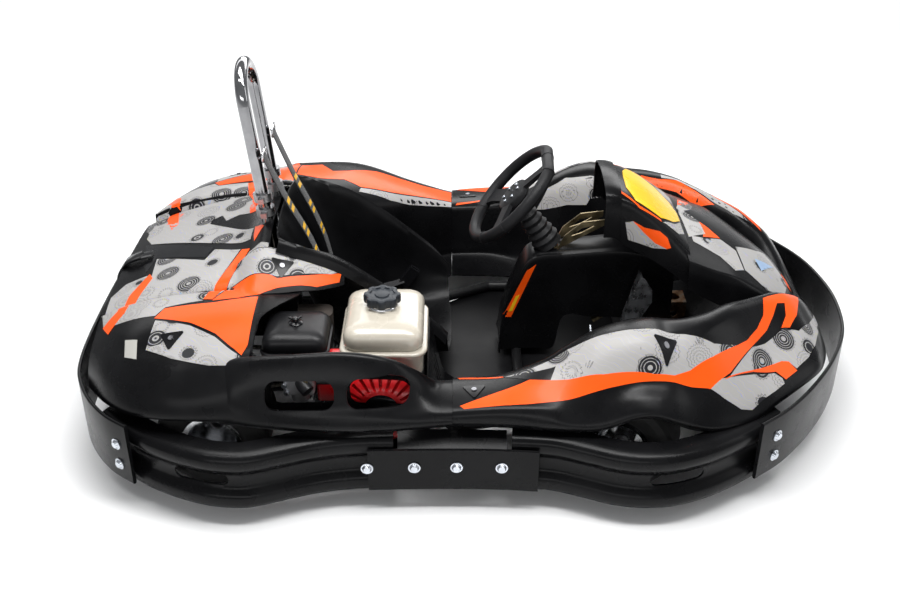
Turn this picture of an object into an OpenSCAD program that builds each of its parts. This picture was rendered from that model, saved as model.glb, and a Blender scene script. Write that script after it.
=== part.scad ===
// Rental kart: tube frame, moulded bodywork and bumpers, side engine with
// chain drive to a live rear axle, steered front wheels, seat, hoop and belts.
// +X forward, +Y the driver's left, +Z up; the origin is on the ground
// under the middle of the kart. The front wheels rest turned to the right.

/* [Kart] */
// Distance between the two axles
wheelbase = 1080; // [1070:1:1085]
// Rear axle's place along the kart
rear_axle_x = -653; // [-655:1:-650]
// Height of the rear axle
rear_axle_z = 140; // [140:1:142]
// Height of the top of the safety hoop
hoop_top_z = 925; // [880:5:940]

/* [Wheels] */
// Width of a rear tyre
rear_tyre_w = 180; // [170:1:182]
// Width of a front tyre
front_tyre_w = 125; // [115:1:126]
// Outside diameter of a front tyre
front_tyre_d = 256; // [250:1:258]
// Outside diameter of a wheel rim
rim_d = 136; // [130:1:138]

/* [Steering] */
// Angle of the steering column below the horizontal
column_tilt = 55; // [54:1:56]
// Angle that the steering wheel rests at, right is negative
steer_rest = -55; // [-60:1:0]
// Turn of a front wheel for a turn of the steering wheel
steer_ratio = 0.4; // [0.35:0.01:0.45]
// Outside diameter of the steering wheel
steering_wheel_d = 337; // [320:1:340]

/* [Drive] */
// Teeth of the axle sprocket
axle_teeth = 48; // [46:1:48]
// Teeth of the clutch sprocket
clutch_teeth = 16; // [15:1:16]
// Chain pitch
pitch = 9.525; // [9.4:0.005:9.525]
// Crankshaft height above the ground
crank_z = 172; // [170:1:174]

/* [Mouldings] */
// Wall thickness of the body panels
wall = 4; // [3:0.5:4]
// Height of the outer face of the side bumpers' top
bumper_top_z = 200; // [190:1:205]
// Height of the underside of the side bumpers
bumper_bottom_z = 42; // [38:1:50]

/* [Hidden] */

near = -1;
far = 1;
front_axle_x = rear_axle_x + wheelbase;
front_axle_z = front_tyre_d / 2;
rear_tyre_r = rear_axle_z;
kingpin_y = 430;
knuckle_rest = steer_rest * steer_ratio;
tube_r = 15;
rail_z = 60;
running = 0.06;
axle_r = 20;
tube_wall = 2.5;
bar_sides = 20;
spindle_r = 8.5;
kingpin_r = 6;
crank_x = -235;
chain_y = -272;
hoop_y = 83;
hoop_r = 17.5;
hoop_base = [-561, 512];
hoop_foot = [-515, 92];
hoop_top = [hoop_base[0] - 43 * (hoop_top_z - hoop_base[1]) / 413, hoop_top_z];
hoop_lean = atan2(hoop_foot[0] - hoop_top[0], hoop_top[1] - hoop_foot[1]);
wheel_centre = [109, 0, 538];
wheel_tip = 12.5;
spoke_angles = [0, 138, -113];
column_r = 10;
column_l = 452;
axle_pitch_r = pitch / (2 * sin(180 / axle_teeth));
clutch_pitch_r = pitch / (2 * sin(180 / clutch_teeth));

// Bodywork stations: [x, points across as [distance from centre line, height]]
front_pod_rows = [
    [-56, [[360, 82], [484, 86], [498, 250], [540, 262], [610, 260], [638, 244], [644, 218]]],
    [60, [[356, 82], [476, 92], [492, 262], [550, 278], [612, 272], [642, 256], [648, 220]]],
    [170, [[356, 82], [440, 110], [458, 292], [520, 312], [600, 290], [642, 258], [656, 222]]],
    [280, [[390, 182], [398, 192], [426, 340], [500, 380], [590, 330], [642, 262], [662, 228]]],
    [385, [[380, 196], [384, 206], [420, 380], [508, 410], [590, 340], [642, 292], [664, 256]]],
    [480, [[380, 180], [384, 192], [408, 374], [494, 399], [584, 332], [634, 278], [656, 244]]],
    [580, [[280, 104], [342, 190], [388, 374], [455, 404], [518, 360], [586, 286], [640, 214]]],
    [680, [[258, 124], [288, 208], [318, 360], [374, 399], [462, 340], [554, 256], [588, 206]]],
    [780, [[238, 160], [240, 212], [252, 338], [292, 374], [386, 325], [476, 267], [517, 227]]],
    [860, [[184, 160], [184, 200], [186, 284], [213, 330], [311, 312], [402, 275], [449, 238]]]];
rear_pod_rows = [
    [-60, [[360, 82], [484, 86], [498, 250], [540, 262], [610, 260], [638, 244], [644, 218]]],
    [-200, [[230, 82], [410, 90], [440, 310], [520, 334], [593, 332], [642, 275], [652, 222]]],
    [-350, [[230, 84], [316, 104], [350, 372], [470, 388], [597, 384], [650, 290], [662, 236]]],
    [-500, [[301, 270], [302, 300], [312, 398], [450, 404], [604, 384], [652, 300], [662, 248]]],
    [-653, [[301, 270], [302, 300], [312, 402], [450, 400], [588, 366], [644, 300], [656, 254]]],
    [-800, [[301, 260], [302, 296], [310, 376], [430, 370], [556, 340], [618, 284], [632, 240]]],
    [-900, [[301, 190], [302, 250], [306, 340], [400, 332], [505, 305], [558, 262], [572, 226]]],
    [-985, [[299, 170], [300, 220], [304, 305], [354, 297], [410, 276], [452, 246], [466, 214]]]];
// Half outlines of the bumpers in plan, outer face
bumper_rear_path = [[-930, 566], [-846, 636], [-790, 675], [-717, 712], [-640, 738],
    [-566, 746], [-475, 722], [-382, 690], [-290, 674], [-200, 672]];
bumper_front_path = [[84, 672], [180, 680], [254, 706], [325, 734], [393, 746], [470, 740],
    [543, 715], [613, 678], [690, 625], [760, 566]];
bumper_plate_path = [[-262, 684], [-160, 681], [-58, 680], [50, 682], [150, 690]];
bumper_ledge_path = [[-190, 682], [-60, 680], [72, 684]];
front_strap_path = [[690, 648], [765, 588], [838, 510], [910, 415], [962, 330], [1010, 230],
    [1036, 130], [1048, 0]];
rear_strap_path = [[-840, 668], [-903, 620], [-960, 552], [-1005, 470], [-1030, 385],
    [-1043, 240], [-1048, 0]];
mount_z = 70.5;
slot_rear_x = -660;
slot_front_x = 480;
pedal_y = 110;
pedal_pivot = [470, 110];
arm_pivot = [-420, 262];
rail_path = [[-850, 238, rail_z + 20], [-700, 238, rail_z], [-120, 238, rail_z],
    [60, 335, rail_z], [330, 335, rail_z], [560, 250, rail_z + 10], [700, 200, rail_z + 45]];
side_loop_path = [[-420, 254, rail_z - 1], [-420, 560, rail_z - 1], [-360, 590, rail_z],
    [150, 590, rail_z], [170, 560, rail_z], [170, 351, rail_z]];
front_bar_path = [[720, -232, 130], [880, -205, 140], [925, -110, 146], [925, 110, 146],
    [880, 205, 140], [720, 232, 130]];
belt_route = [[-538, 524], [-508, 514], [-484, 430], [-461, 345], [-438, 262], [-418, 195],
    [-385, 140]];
wing_rows = [for (q = [[-566, 0], [-500, 4], [-420, 22], [-345, 48]])
    [q[0], [[216, 440 - q[1]], [236, 452 - q[1]], [272, 444 - q[1]], [292 - q[1] / 3, 420 - q[1]]]]];
// Cut that clears the engine, and the windows in the rail beside it
engine_bay = [[-556, -100], [-590, -200], [60, 460]];
windows = [[-500, -335], [-305, -160]];
window_z = [278, 338];
// Steering arm of a knuckle, back from the kingpin and inward
arm_l = 110;
arm_in = 15;
pitman_tip = [355, 45];
grip_place = [-364, -572, 304];

function mirror_y(p, side) = [for (q = p) [q[0], side * q[1]]];
function spline_point(a, b, c, d, t) = 0.5 * (2 * b + (c - a) * t
    + (2 * a - 5 * b + 4 * c - d) * t * t + (3 * b - a - 3 * c + d) * t * t * t);
function smooth(p, n) = [for (i = [0:len(p) - 2], k = [0:n - 1])
    spline_point(p[max(0, i - 1)], p[i], p[i + 1], p[min(len(p) - 1, i + 2)], k / n),
    p[len(p) - 1]];
// Two triangles a quad; the two halves of a ring are split the same way in space
function loop_quads(rows, cols) = [for (i = [0:rows - 2], j = [0:cols - 1])
    let (a = i * cols + j, b = a + cols, d = i * cols + (j + 1) % cols, c = d + cols)
        each j < cols / 2 - 0.6 ? [[a, b, c], [a, c, d]] : [[a, b, d], [b, c, d]]];
function step(p, i) = let (d = p[i + 1] - p[i]) d / norm(d);
function tangent(p, i) = let (d = p[min(len(p) - 1, i + 1)] - p[max(0, i - 1)]) d / norm(d);
function bisector(p, i) =
    let (d = step(p, max(0, i - 1)) + step(p, min(len(p) - 2, i))) d / norm(d);

// Volume enclosed by triangles, which tells whether they face outward
function enclosed(points, faces) = [for (f = faces)
    points[f[0]] * cross(points[f[1]], points[f[2]]) / 6] * [for (f = faces) 1];

// A strip of triangles that closes a ring whose two halves face each other
function strip_cap(start, cols) = [for (j = [0:floor(cols / 2) - 1])
    let (a = start + j, b = a + 1, c = start + cols - 2 - j, d = c + 1)
        each c > b ? [[a, b, c], [a, c, d]] : c == b ? [[a, b, d]] : []];
function turned_over(faces) = [for (f = faces) [for (j = [len(f) - 1:-1:0]) f[j]]];

// A closed skin through rings of the same number of points
module skin(rings) {
    rows = len(rings);
    cols = len(rings[0]);
    points = [for (r = rings) each r];
    sides = loop_quads(rows, cols);
    faces = concat(strip_cap(0, cols), sides, turned_over(strip_cap((rows - 1) * cols, cols)));
    polyhedron(points, enclosed(points, faces) < 0 ? faces : turned_over(faces));
}

// A wall that follows a plan path; section points are [outward, height]
module swept_wall(path, section, side = far) {
    s = smooth(path, 3);
    rings = [for (i = [0:len(s) - 1]) let (t = tangent(s, i), n = [-t[1], t[0]])
        [for (q = section) [s[i][0] + n[0] * q[0], s[i][1] + n[1] * q[0], q[1]]]];
    scale_y(side) skin(rings);
}

module scale_y(side) {
    if (side == far) children();
    else mirror([0, 1, 0]) children();
}

// The points of a section moved inward by a wall's thickness
function inset(p, t) = [for (i = [0:len(p) - 1])
    let (d = p[min(len(p) - 1, i + 1)] - p[max(0, i - 1)]) p[i] + t * [d[1], -d[0]] / norm(d)];

// An open shell across stations of [x, [[y, z], ...]]
module shell(rows, side = far, thick = wall) {
    scale_y(side) skin([for (r = rows) let (under = inset(r[1], thick)) concat(
        [for (q = r[1]) [r[0], q[0], q[1]]],
        [for (j = [len(under) - 1:-1:0]) [r[0], under[j][0], under[j][1]]])]);
}

module rod(a, b, r) {
    d = b - a;
    translate(a)
        rotate([0, acos(d[2] / norm(d)), atan2(d[1], d[0])])
            cylinder(r = r, h = norm(d), $fn = 40);
}

// A bar of many sides that follows points, mitred where it bends
module bent_bar(points, r, proud) {
    last = len(points) - 1;
    skin([for (i = [0:last])
        let (t = bisector(points, i), d = step(points, min(last - 1, i)),
            across = cross([0, 0, 1], t) / norm(cross([0, 0, 1], t)), up = cross(t, across),
            end = i == 0 ? -proud : i == last ? proud : 0)
            [for (k = [0:bar_sides - 1]) let (a = 360 * (k + 0.5) / bar_sides)
                points[i] + end * t + r * (cos(a) / (t * d) * across + sin(a) * up)]]);
}

module tube(points, r = tube_r) {
    difference() {
        bent_bar(points, r, 0);
        bent_bar(points, r - tube_wall, 2);
    }
}

module along_y(y0, y1, r) {
    translate([0, y0, 0]) rotate([-90, 0, 0]) cylinder(r = r, h = y1 - y0, $fn = 80);
}

module slab(x, y, z) {
    translate([x[0], y[0], z[0]]) cube([x[1] - x[0], y[1] - y[0], z[1] - z[0]]);
}

module profile(points, y0, y1) {
    translate([0, y1, 0]) rotate([90, 0, 0]) linear_extrude(y1 - y0) polygon(points);
}

module rounded_slab(x, y, z, r) {
    translate([x[0] + r, y[0] + r, z[0]])
        linear_extrude(z[1] - z[0]) {
            w = x[1] - x[0] - 2 * r;
            d = y[1] - y[0] - 2 * r;
            translate([-r, 0]) square([w + 2 * r, d]);
            translate([0, -r]) square([w, d + 2 * r]);
            for (i = [0, w], j = [0, d]) translate([i, j]) circle(r = r, $fn = 48);
        }
}

// ---- Frame ----
module frame_rail(side) {
    color("dimgray") scale_y(side) tube(rail_path);
}

module frame_crossbars() {
    color("dimgray") {
        for (b = [[-820, 224, rail_z + 16], [-515, 224, rail_z], [-150, 224, rail_z],
                [130, 321, rail_z], [front_axle_x + 60, 264, rail_z + 8], [690, 190, rail_z + 42]])
            translate([b[0], 0, b[2]]) difference() {
                along_y(-b[1], b[1], tube_r - 1);
                along_y(-b[1] - 1, b[1] + 1, tube_r - 1 - tube_wall);
            }
        for (side = [near, far])
            rod([hoop_foot[0] - 1, side * hoop_y, rail_z + 13],
                [hoop_foot[0], side * hoop_y, hoop_foot[1] - 0.3], hoop_r + 2);
    }
}

// Tubes outside the main rails: one loop a side, and the bars behind both bumpers
module outer_tubes() {
    color("dimgray") {
        for (side = [near, far]) scale_y(side) {
            bent_bar(side_loop_path, 12, 0);
            for (x = [-260, 90]) rod([x, 590, rail_z], [x, 650, rail_z + 38], 10);
            rod([700, 212, 105], [900, 160, 140], 10);
            rod([-855, 238, 84], [-1008, 238, 110], 12);
        }
        bent_bar(front_bar_path, 12, 0);
        translate([-1010, 0, 122]) along_y(-345, 345, 12);
    }
}

module steering_yokes() {
    color("dimgray") for (side = [near, far]) scale_y(side) translate([front_axle_x, 0, 0]) {
        difference() {
            union() {
                slab([-16, 16], [372, 450], [162, 168]);
                slab([-16, 16], [372, 450], [88, 94]);
                slab([-16, 16], [372, 382], [86, 170]);
            }
            translate([0, kingpin_y, 60]) cylinder(r = kingpin_r + 0.2, h = 120, $fn = 48);
        }
        slab([-12, 12], [318, 372], [76, 88]);
    }
}

// Kingpin bolts and the domed bolts of the bumpers
module bolts() {
    color("silver") for (side = [near, far]) {
        translate([front_axle_x, side * kingpin_y, 0]) {
            translate([0, 0, 79]) cylinder(r = kingpin_r, h = 97, $fn = 48);
            translate([0, 0, 168.2]) cylinder(r = 10, h = 8, $fn = 6);
            translate([0, 0, 78]) cylinder(r = 10, h = 9.8, $fn = 6);
        }
        scale_y(-side) {
            for (p = [[-264, -686.6], [-150, -683.4], [-48, -682.4], [61, -684.6]])
                bolt_head(p[0], p[1], 128, 0);
            for (z = [110, 170]) {
                bolt_head(-872, -645, z, -37.3);
                bolt_head(738, -611, z, 38.7);
            }
        }
    }
}

module floor_tray() {
    color("black") difference() {
        translate([0, 0, rail_z - tube_r - 4.5]) linear_extrude(4)
            polygon([[-430, -225], [-430, 225], [-110, 225], [60, 350], [330, 350], [600, 240],
                [600, -240], [330, -350], [60, -350], [-110, -225]]);
        for (x = [-380, 520], y = [-150, 150])
            translate([x, y, 30]) cylinder(r = 4.5, h = 30, $fn = 40);
    }
}

// ---- Seat and bodywork ----
module seat() {
    side_plate = [[-531, 497], [-512, 502], [-456, 481], [-380, 452], [-290, 395], [-200, 327],
        [-120, 258], [-75, 225], [-62, 190], [-62, 78], [-425, 78], [-452, 110]];
    back = [[-531, 497], [-515, 500], [-420, 120], [-400, 96], [-400, 78], [-425, 78], [-452, 110]];
    color("black") {
        for (side = [near, far]) scale_y(side) profile(side_plate, 196, 210);
        profile(back, -197, 197);
        profile([[-401, 78], [-401, 92], [-62, 110], [-62, 78]], -197, 197);
    }
}

module front_pod(side) {
    color("black") shell(front_pod_rows, side);
}

module rear_pod_L() {
    color("black") shell(rear_pod_rows, far);
}

// The engine side: a rear fender, and a rail with two windows beside the engine
module rear_pod_R() {
    color("black") {
        difference() {
            shell(rear_pod_rows, near);
            slab(engine_bay[0], engine_bay[1], engine_bay[2]);
            for (w = windows) slab(w, [-720, -500], window_z);
        }
    }
}

// The cover behind the seat, and the wings beside the seat's back
module rear_cover() {
    rows = [for (x = [-572, -650, -740, -830, -915, -985]) let (z = 442 - 0.27 * (-572 - x)) [x,
        [[-288, z - 90], [-292, z - 34], [-262, z - 8], [-120, z - 1], [0, z + 2], [120, z - 1],
            [262, z - 8], [292, z - 34], [288, z - 90]]]];
    color("black") {
        difference() {
            shell(rows, far, wall);
            slab([-600, -540], [-110, 110], [300, 460]);
        }
        for (side = [near, far]) shell(wing_rows, side);
    }
}

// Half width, height of the crown and depth of the sides at each station
module crowned_shell(stations) {
    color("black") shell([for (s = stations) [s[0], [[-s[1] - 3, s[2] - s[3]], [-s[1], s[2] - 20],
        [-s[1] * 0.55, s[2] - 3], [0, s[2]], [s[1] * 0.55, s[2] - 3], [s[1], s[2] - 20],
        [s[1] + 3, s[2] - s[3]]]]]);
}

module nose() {
    crowned_shell([[576, 228, 466, 66], [640, 230, 446, 72], [700, 226, 420, 72], [760, 214, 388, 72],
        [820, 196, 350, 72], [872, 168, 306, 70], [904, 140, 264, 60], [926, 112, 236, 50]]);
}

module fairing() {
    crowned_shell([[372, 118, 592, 130], [420, 126, 580, 140], [470, 140, 552, 120],
        [520, 162, 515, 95], [570, 190, 470, 80]]);
}

module tunnel_cover() {
    ridge = [[77, 78], [86, 166], [150, 350], [184, 374], [420, 398], [566, 360], [566, 78]];
    hollow = [[80, 50], [91, 166], [155, 345], [186, 368], [420, 392], [570, 354], [570, 50]];
    color("black") difference() {
        profile(ridge, -62, 62);
        profile(hollow, -57, 57);
        slab([250, 560], [-80, 80], [50, 176]);
        translate([wheel_centre[0] + 110, 0, 380]) cylinder(r = 44, h = 60, center = true, $fn = 64);
    }
}

// ---- Bumpers ----
module bumper(path, side, slot_x, slot_y) {
    t = bumper_top_z;
    b = bumper_bottom_z;
    section = [[-66, t + 4], [-12, t], [0, t - 14], [0, t - 50], [-12, t - 66], [-12, b + 66], [0, b + 50],
        [0, b + 12], [-14, b], [-66, b], [-66, b + 5], [-16, b + 5], [-6, b + 14], [-6, b + 46],
        [-18, b + 62], [-18, t - 62], [-6, t - 46], [-6, t - 16], [-14, t - 6], [-66, t - 2]];
    color("black") difference() {
        swept_wall(path, section, side);
        translate([slot_x, side * slot_y, (t + b) / 2]) rotate([90, 0, 0])
            linear_extrude(90, center = true) {
                square([90, 34], center = true);
                for (x = [-45, 45]) translate([x, 0]) circle(r = 17, $fn = 24);
            }
    }
}

module bumpers(path, slot_x, slot_y) {
    for (side = [near, far]) bumper(path, side, slot_x, slot_y);
}

module bumper_plates() {
    face = [[2, 178], [2, 60], [-6, 60], [-6, 178]];
    ledge = [[-5.5, 177], [-5.5, 172], [-58, 192], [-58, 197]];
    color("black") for (side = [near, far]) {
        swept_wall(bumper_plate_path, face, side);
        swept_wall(bumper_ledge_path, ledge, side);
    }
}

// A half path mirrored into one strap that wraps round an end of the kart
module strap(path, low, high) {
    full = concat(path, [for (i = [len(path) - 2:-1:0]) [path[i][0], -path[i][1]]]);
    inner = path[0][0] < 0 ? 9 : -9;
    a = max(inner, 0);
    b = min(inner, 0);
    color("black") swept_wall(full, [[a, high], [a, low], [b, low], [b, high]]);
}

module bolt_head(x, y, z, angle) {
    translate([x, y, z]) rotate([90, 0, angle]) {
        cylinder(r = 15, h = 3, $fn = 48);
        translate([0, 0, 2.9]) cylinder(r1 = 12, r2 = 8, h = 6, $fn = 48);
    }
}

// ---- Hoop and belts ----
module hoop_bar(run, r, proud) {
    for (side = [near, far])
        translate([0, side * hoop_y, -proud]) cylinder(r = r, h = run + proud, $fn = 64);
    translate([0, 0, run]) rotate([90, 0, 90])
        rotate_extrude(angle = 180, $fn = 96) translate([hoop_y, 0]) circle(r = r, $fn = 64);
}

module hoop() {
    run = norm(hoop_top - hoop_foot) - hoop_r - hoop_y;
    color("silver") translate([hoop_foot[0], 0, hoop_foot[1]]) rotate([0, -hoop_lean, 0]) difference() {
        hoop_bar(run, hoop_r, 0);
        hoop_bar(run, hoop_r - tube_wall, 2);
    }
}

module hoop_clamps() {
    color("gray") for (side = [near, far], z = [520, 562])
        translate([hoop_foot[0], side * hoop_y, hoop_foot[1]]) rotate([0, -hoop_lean, 0])
            translate([0, 0, z - hoop_foot[1]]) difference() {
                union() {
                    cylinder(r = hoop_r + 8, h = 22, $fn = 64);
                    translate([-8, side > 0 ? 18 : -40, 4]) cube([16, 22, 14]);
                }
                translate([0, 0, -1]) cylinder(r = hoop_r + 0.1, h = 24, $fn = 64);
            }
}

module seat_belts() {
    color("dimgray") for (side = [near, far]) scale_y(side)
        skin([for (p = belt_route) let (y = p[1] > 515 ? 132 : 130)
            [[p[0], y - 23, p[1]], [p[0] + 4, y - 23, p[1] + 2], [p[0] + 4, y + 23, p[1] + 2],
                [p[0], y + 23, p[1]]]]);
}

module belt_buckles() {
    color("black") for (side = [near, far])
        translate([-190, side * 178, 180]) rotate([0, 35, 0]) difference() {
            cube([32, 22, 70], center = true);
            translate([0, 0, 30]) cube([24, 5, 30], center = true);
        }
}

// ---- Steering ----
module in_knuckle(side) {
    translate([front_axle_x, side * kingpin_y, 0]) rotate([0, 0, knuckle_rest]) scale_y(side) children();
}

module knuckle(side) {
    color("gray") in_knuckle(side) {
        difference() {
            union() {
                translate([0, 0, 94.4]) cylinder(r = 14, h = 67.2, $fn = 64);
                translate([0, 0, front_axle_z]) along_y(10, 176, spindle_r);
                translate([0, 0, front_axle_z]) along_y(10, 40, 13);
                slab([-arm_l, 0], [-arm_in - 10, -arm_in + 12], [112, 119]);
            }
            translate([0, 0, 80]) cylinder(r = kingpin_r + running, h = 100, $fn = 48);
        }
        translate([-arm_l + 2, -arm_in, 90]) cylinder(r = 4, h = 24, $fn = 32);
        translate([0, 0, front_axle_z]) along_y(168.5, 178, 12);
    }
}

function turned(side, v) = [front_axle_x + v[0] * cos(knuckle_rest) - side * v[1] * sin(knuckle_rest),
    side * kingpin_y + v[0] * sin(knuckle_rest) + side * v[1] * cos(knuckle_rest)];
module tie_rod(side) {
    outer = turned(side, [-arm_l + 2, -arm_in]);
    d = pitman_tip - outer;
    l = norm(d);
    color("silver") translate([outer[0], outer[1], 100]) rotate([0, 0, atan2(d[1], d[0])]) {
        difference() {
            translate([0, 0, -6]) cylinder(r = 11, h = 12, $fn = 48);
            translate([0, 0, -7]) cylinder(r = 4 + running, h = 14, $fn = 32);
        }
        translate([10, 0, 0]) rotate([0, 90, 0]) cylinder(r = 5, h = l - 48 - 10 * side, $fn = 40);
    }
}

module front_rim(side) {
    color("silver") in_knuckle(side) translate([0, 0, front_axle_z]) difference() {
        union() {
            rotate([-90, 0, 0]) rotate_extrude($fn = 96)
                polygon([[rim_d / 2, 60], [rim_d / 2 + 6, 60], [rim_d / 2 + 6, 66], [rim_d / 2 - 2, 68],
                    [rim_d / 2 - 8, 80], [rim_d / 2 - 8, 166], [rim_d / 2 - 2, 178], [rim_d / 2 + 6, 180],
                    [rim_d / 2 + 6, 185], [rim_d / 2 - 6, 184], [rim_d / 2 - 13, 168], [rim_d / 2 - 13, 112],
                    [26, 108], [26, 166], [spindle_r + running, 166], [spindle_r + running, 64],
                    [26, 64], [26, 98], [rim_d / 2 - 13, 102], [rim_d / 2 - 13, 78], [rim_d / 2 - 6, 62]]);
        }
        for (a = [0:60:300]) rotate([0, a, 0]) translate([40, 90, 0]) rotate([-90, 0, 0])
            cylinder(r = 7, h = 30, $fn = 32);
    }
}

// A tyre as a hollow carcass, open towards the rim
module tyre_ring(r_in, r_out, w) {
    rotate([-90, 0, 0]) rotate_extrude($fn = 128)
        polygon([[r_in, 3], [r_in + 12, 0], [r_out - 22, 0], [r_out - 6, 6], [r_out, 20],
            [r_out, w - 20], [r_out - 6, w - 6], [r_out - 22, w], [r_in + 12, w], [r_in, w - 3],
            [r_in, w - 16], [r_in + 14, w - 9], [r_out - 24, w - 9], [r_out - 12, w - 22],
            [r_out - 12, 22], [r_out - 24, 9], [r_in + 14, 9], [r_in, 16]]);
}

module front_tyre(side) {
    color([0.1, 0.1, 0.1]) in_knuckle(side) translate([0, 60, front_axle_z])
        tyre_ring(rim_d / 2 + 6.3, front_tyre_d / 2, front_tyre_w);
}

module on_column() {
    translate(wheel_centre) rotate([0, 90 + column_tilt, 0]) children();
}

// The wheel stands more upright than its column, on an angled boss
module steering_wheel() {
    r = steering_wheel_d / 2 - 15;
    color("black") on_column() {
        rotate([0, -wheel_tip, 0]) rotate([0, 0, -steer_rest]) {
            rotate_extrude($fn = 96) translate([r, 0]) circle(r = 15, $fn = 40);
            for (a = spoke_angles) rotate([0, 0, a]) {
                w = a == 0 ? 44 : 28;
                translate([44, -w / 2, 10]) cube([r - 50, w, 5]);
                translate([r - 12, -w / 2, 2]) cube([8, w, 13]);
            }
            difference() {
                translate([0, 0, 10]) cylinder(r = 52, h = 5, $fn = 64);
                for (a = [30:60:330]) rotate([0, 0, a])
                    translate([29, 0, 5]) cylinder(r = 3.2, h = 20, $fn = 24);
            }
            translate([0, 0, 14.5]) cylinder(r = 38, h = 8, $fn = 64);
        }
        translate([0, 0, 16]) cylinder(r = 20, h = 18, $fn = 64);
    }
}

module steering_column() {
    color("gray") on_column() rotate([0, 0, -steer_rest]) {
        translate([0, 0, 34.1]) cylinder(r = 18, h = 15, $fn = 64);
        translate([0, 0, 34.1]) cylinder(r = column_r, h = column_l - 19, $fn = 64);
        translate([10, -14, column_l + 4]) cube([50, 28, 6]);
        translate([-14, -14, column_l + 4]) cube([26, 28, 6]);
    }
}

module steering_boot() {
    color([0.12, 0.12, 0.12]) on_column() difference() {
        rotate_extrude($fn = 64) polygon(concat([[column_r + 2.5, 66], [column_r + 12, 66]],
            [for (i = [0:9]) [24 + 1.5 * i + (i % 2 == 0 ? 6 : 0), 74 + i * 11]],
            [[40, 186], [37, 186], [33, 176], [column_r + 2.5, 76]]));
    }
}

module column_bracket() {
    color([0.75, 0.65, 0.4]) {
        on_column() difference() {
            translate([-22, -24, 196]) cube([44, 48, 14]);
            translate([0, 0, 190]) cylinder(r = column_r + running, h = 30, $fn = 64);
        }
        for (side = [near, far]) scale_y(side) difference() {
            profile([[236, 380], [256, 424], [304, 466], [368, 474], [368, 458], [262, 396]], 26, 30);
            profile([[272, 422], [304, 448], [340, 456], [304, 434]], 20, 36);
        }
        on_column() difference() {
            translate([-20, -56.5, 440]) cube([40, 113, 10]);
            translate([0, 0, 430]) cylinder(r = column_r + running, h = 30, $fn = 64);
        }
    }
}

// ---- Rear axle ----
module on_axle() {
    translate([rear_axle_x, 0, rear_axle_z]) children();
}

module rear_axle() {
    color("silver") on_axle() difference() {
        along_y(-520, 520, axle_r);
        along_y(-521, 521, axle_r - 5);
    }
}

module rear_hubs() {
    color("silver") on_axle() for (side = [near, far]) scale_y(side) difference() {
        union() {
            along_y(430, 510, 32);
            along_y(488, 496, 48);
        }
        along_y(400, 530, axle_r);
    }
}

module rear_rims() {
    color("silver") on_axle() for (side = [near, far]) scale_y(side) difference() {
        rotate([-90, 0, 0]) rotate_extrude($fn = 96)
            polygon([[rim_d / 2 + 6, 420], [rim_d / 2 + 6, 425], [rim_d / 2 - 2, 428], [rim_d / 2 - 8, 440],
                [rim_d / 2 - 8, 580], [rim_d / 2 - 2, 592], [rim_d / 2 + 6, 595], [rim_d / 2 + 6, 600],
                [rim_d / 2 - 6, 599], [rim_d / 2 - 13, 584], [rim_d / 2 - 13, 504], [24, 504],
                [24, 511], [22, 511], [22, 496.1], [rim_d / 2 - 13, 496.1], [rim_d / 2 - 13, 436],
                [rim_d / 2 - 6, 421]]);
        along_y(490, 520, 32.2);
        for (a = [0:120:240]) rotate([0, a + 30, 0]) translate([40, 0, 0]) along_y(480, 520, 4);
    }
}

module rear_tyres() {
    color([0.1, 0.1, 0.1]) on_axle() for (side = [near, far]) scale_y(side)
        translate([0, 420, 0]) tyre_ring(rim_d / 2 + 6.3, rear_tyre_r, rear_tyre_w);
}

module axle_bearings() {
    color("dimgray") for (side = [near, far]) scale_y(side) on_axle() difference() {
        union() {
            along_y(224, 252, 42);
            slab([-30, 30], [230, 246], [-64, 0]);
        }
        along_y(200, 270, axle_r + running);
    }
}

// A toothed disc: teeth as points round a circle
module sprocket(teeth, r_pitch, bore, thick) {
    along = [for (i = [0:teeth - 1]) each [for (k = [[0, -3], [0.32, -3], [0.44, 3.2], [0.88, 3.2]])
        let (a = 360 * (i + k[0]) / teeth, q = r_pitch + k[1]) [q * cos(a), q * sin(a)]]];
    rotate([90, 0, 0]) linear_extrude(thick, center = true) difference() {
        polygon(along);
        circle(r = bore, $fn = 64);
    }
}

module axle_sprocket() {
    color("silver") on_axle() translate([0, chain_y, 0]) {
        difference() {
            sprocket(axle_teeth, axle_pitch_r, 30.1, 4);
            for (a = [0:60:300]) rotate([0, a, 0]) translate([50, 0, 0]) along_y(-10, 10, 6);
        }
        difference() {
            union() {
                along_y(-14, 12, 30);
                along_y(-6, -2.1, 40);
            }
            along_y(-20, 20, axle_r);
        }
    }
}

module brake_disc() {
    color("silver") on_axle() difference() {
        union() {
            along_y(286, 292, 92);
            along_y(270, 305, 32);
        }
        along_y(260, 310, axle_r);
        for (a = [0:30:330]) rotate([0, a, 0]) translate([72, 0, 0]) along_y(280, 296, 5);
    }
}

module brake_caliper() {
    color("gray") on_axle() {
        difference() {
            slab([40, 106], [268, 312], [20, 84]);
            slab([30, 97], [283, 295], [10, 90]);
        }
        slab([-10, 60], [252.2, 262], [44, 60]);
        slab([40, 60], [261, 269], [44, 60]);
    }
}

// ---- Engine ----
module engine_mount() {
    color("dimgray") difference() {
        slab([-430, -116], [-540, -262], [mount_z, mount_z + 5]);
        for (x = [-330, -150], y = [-470, -310])
            translate([x, y, 50]) cylinder(r = 4.5, h = 40, $fn = 32);
    }
}

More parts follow.
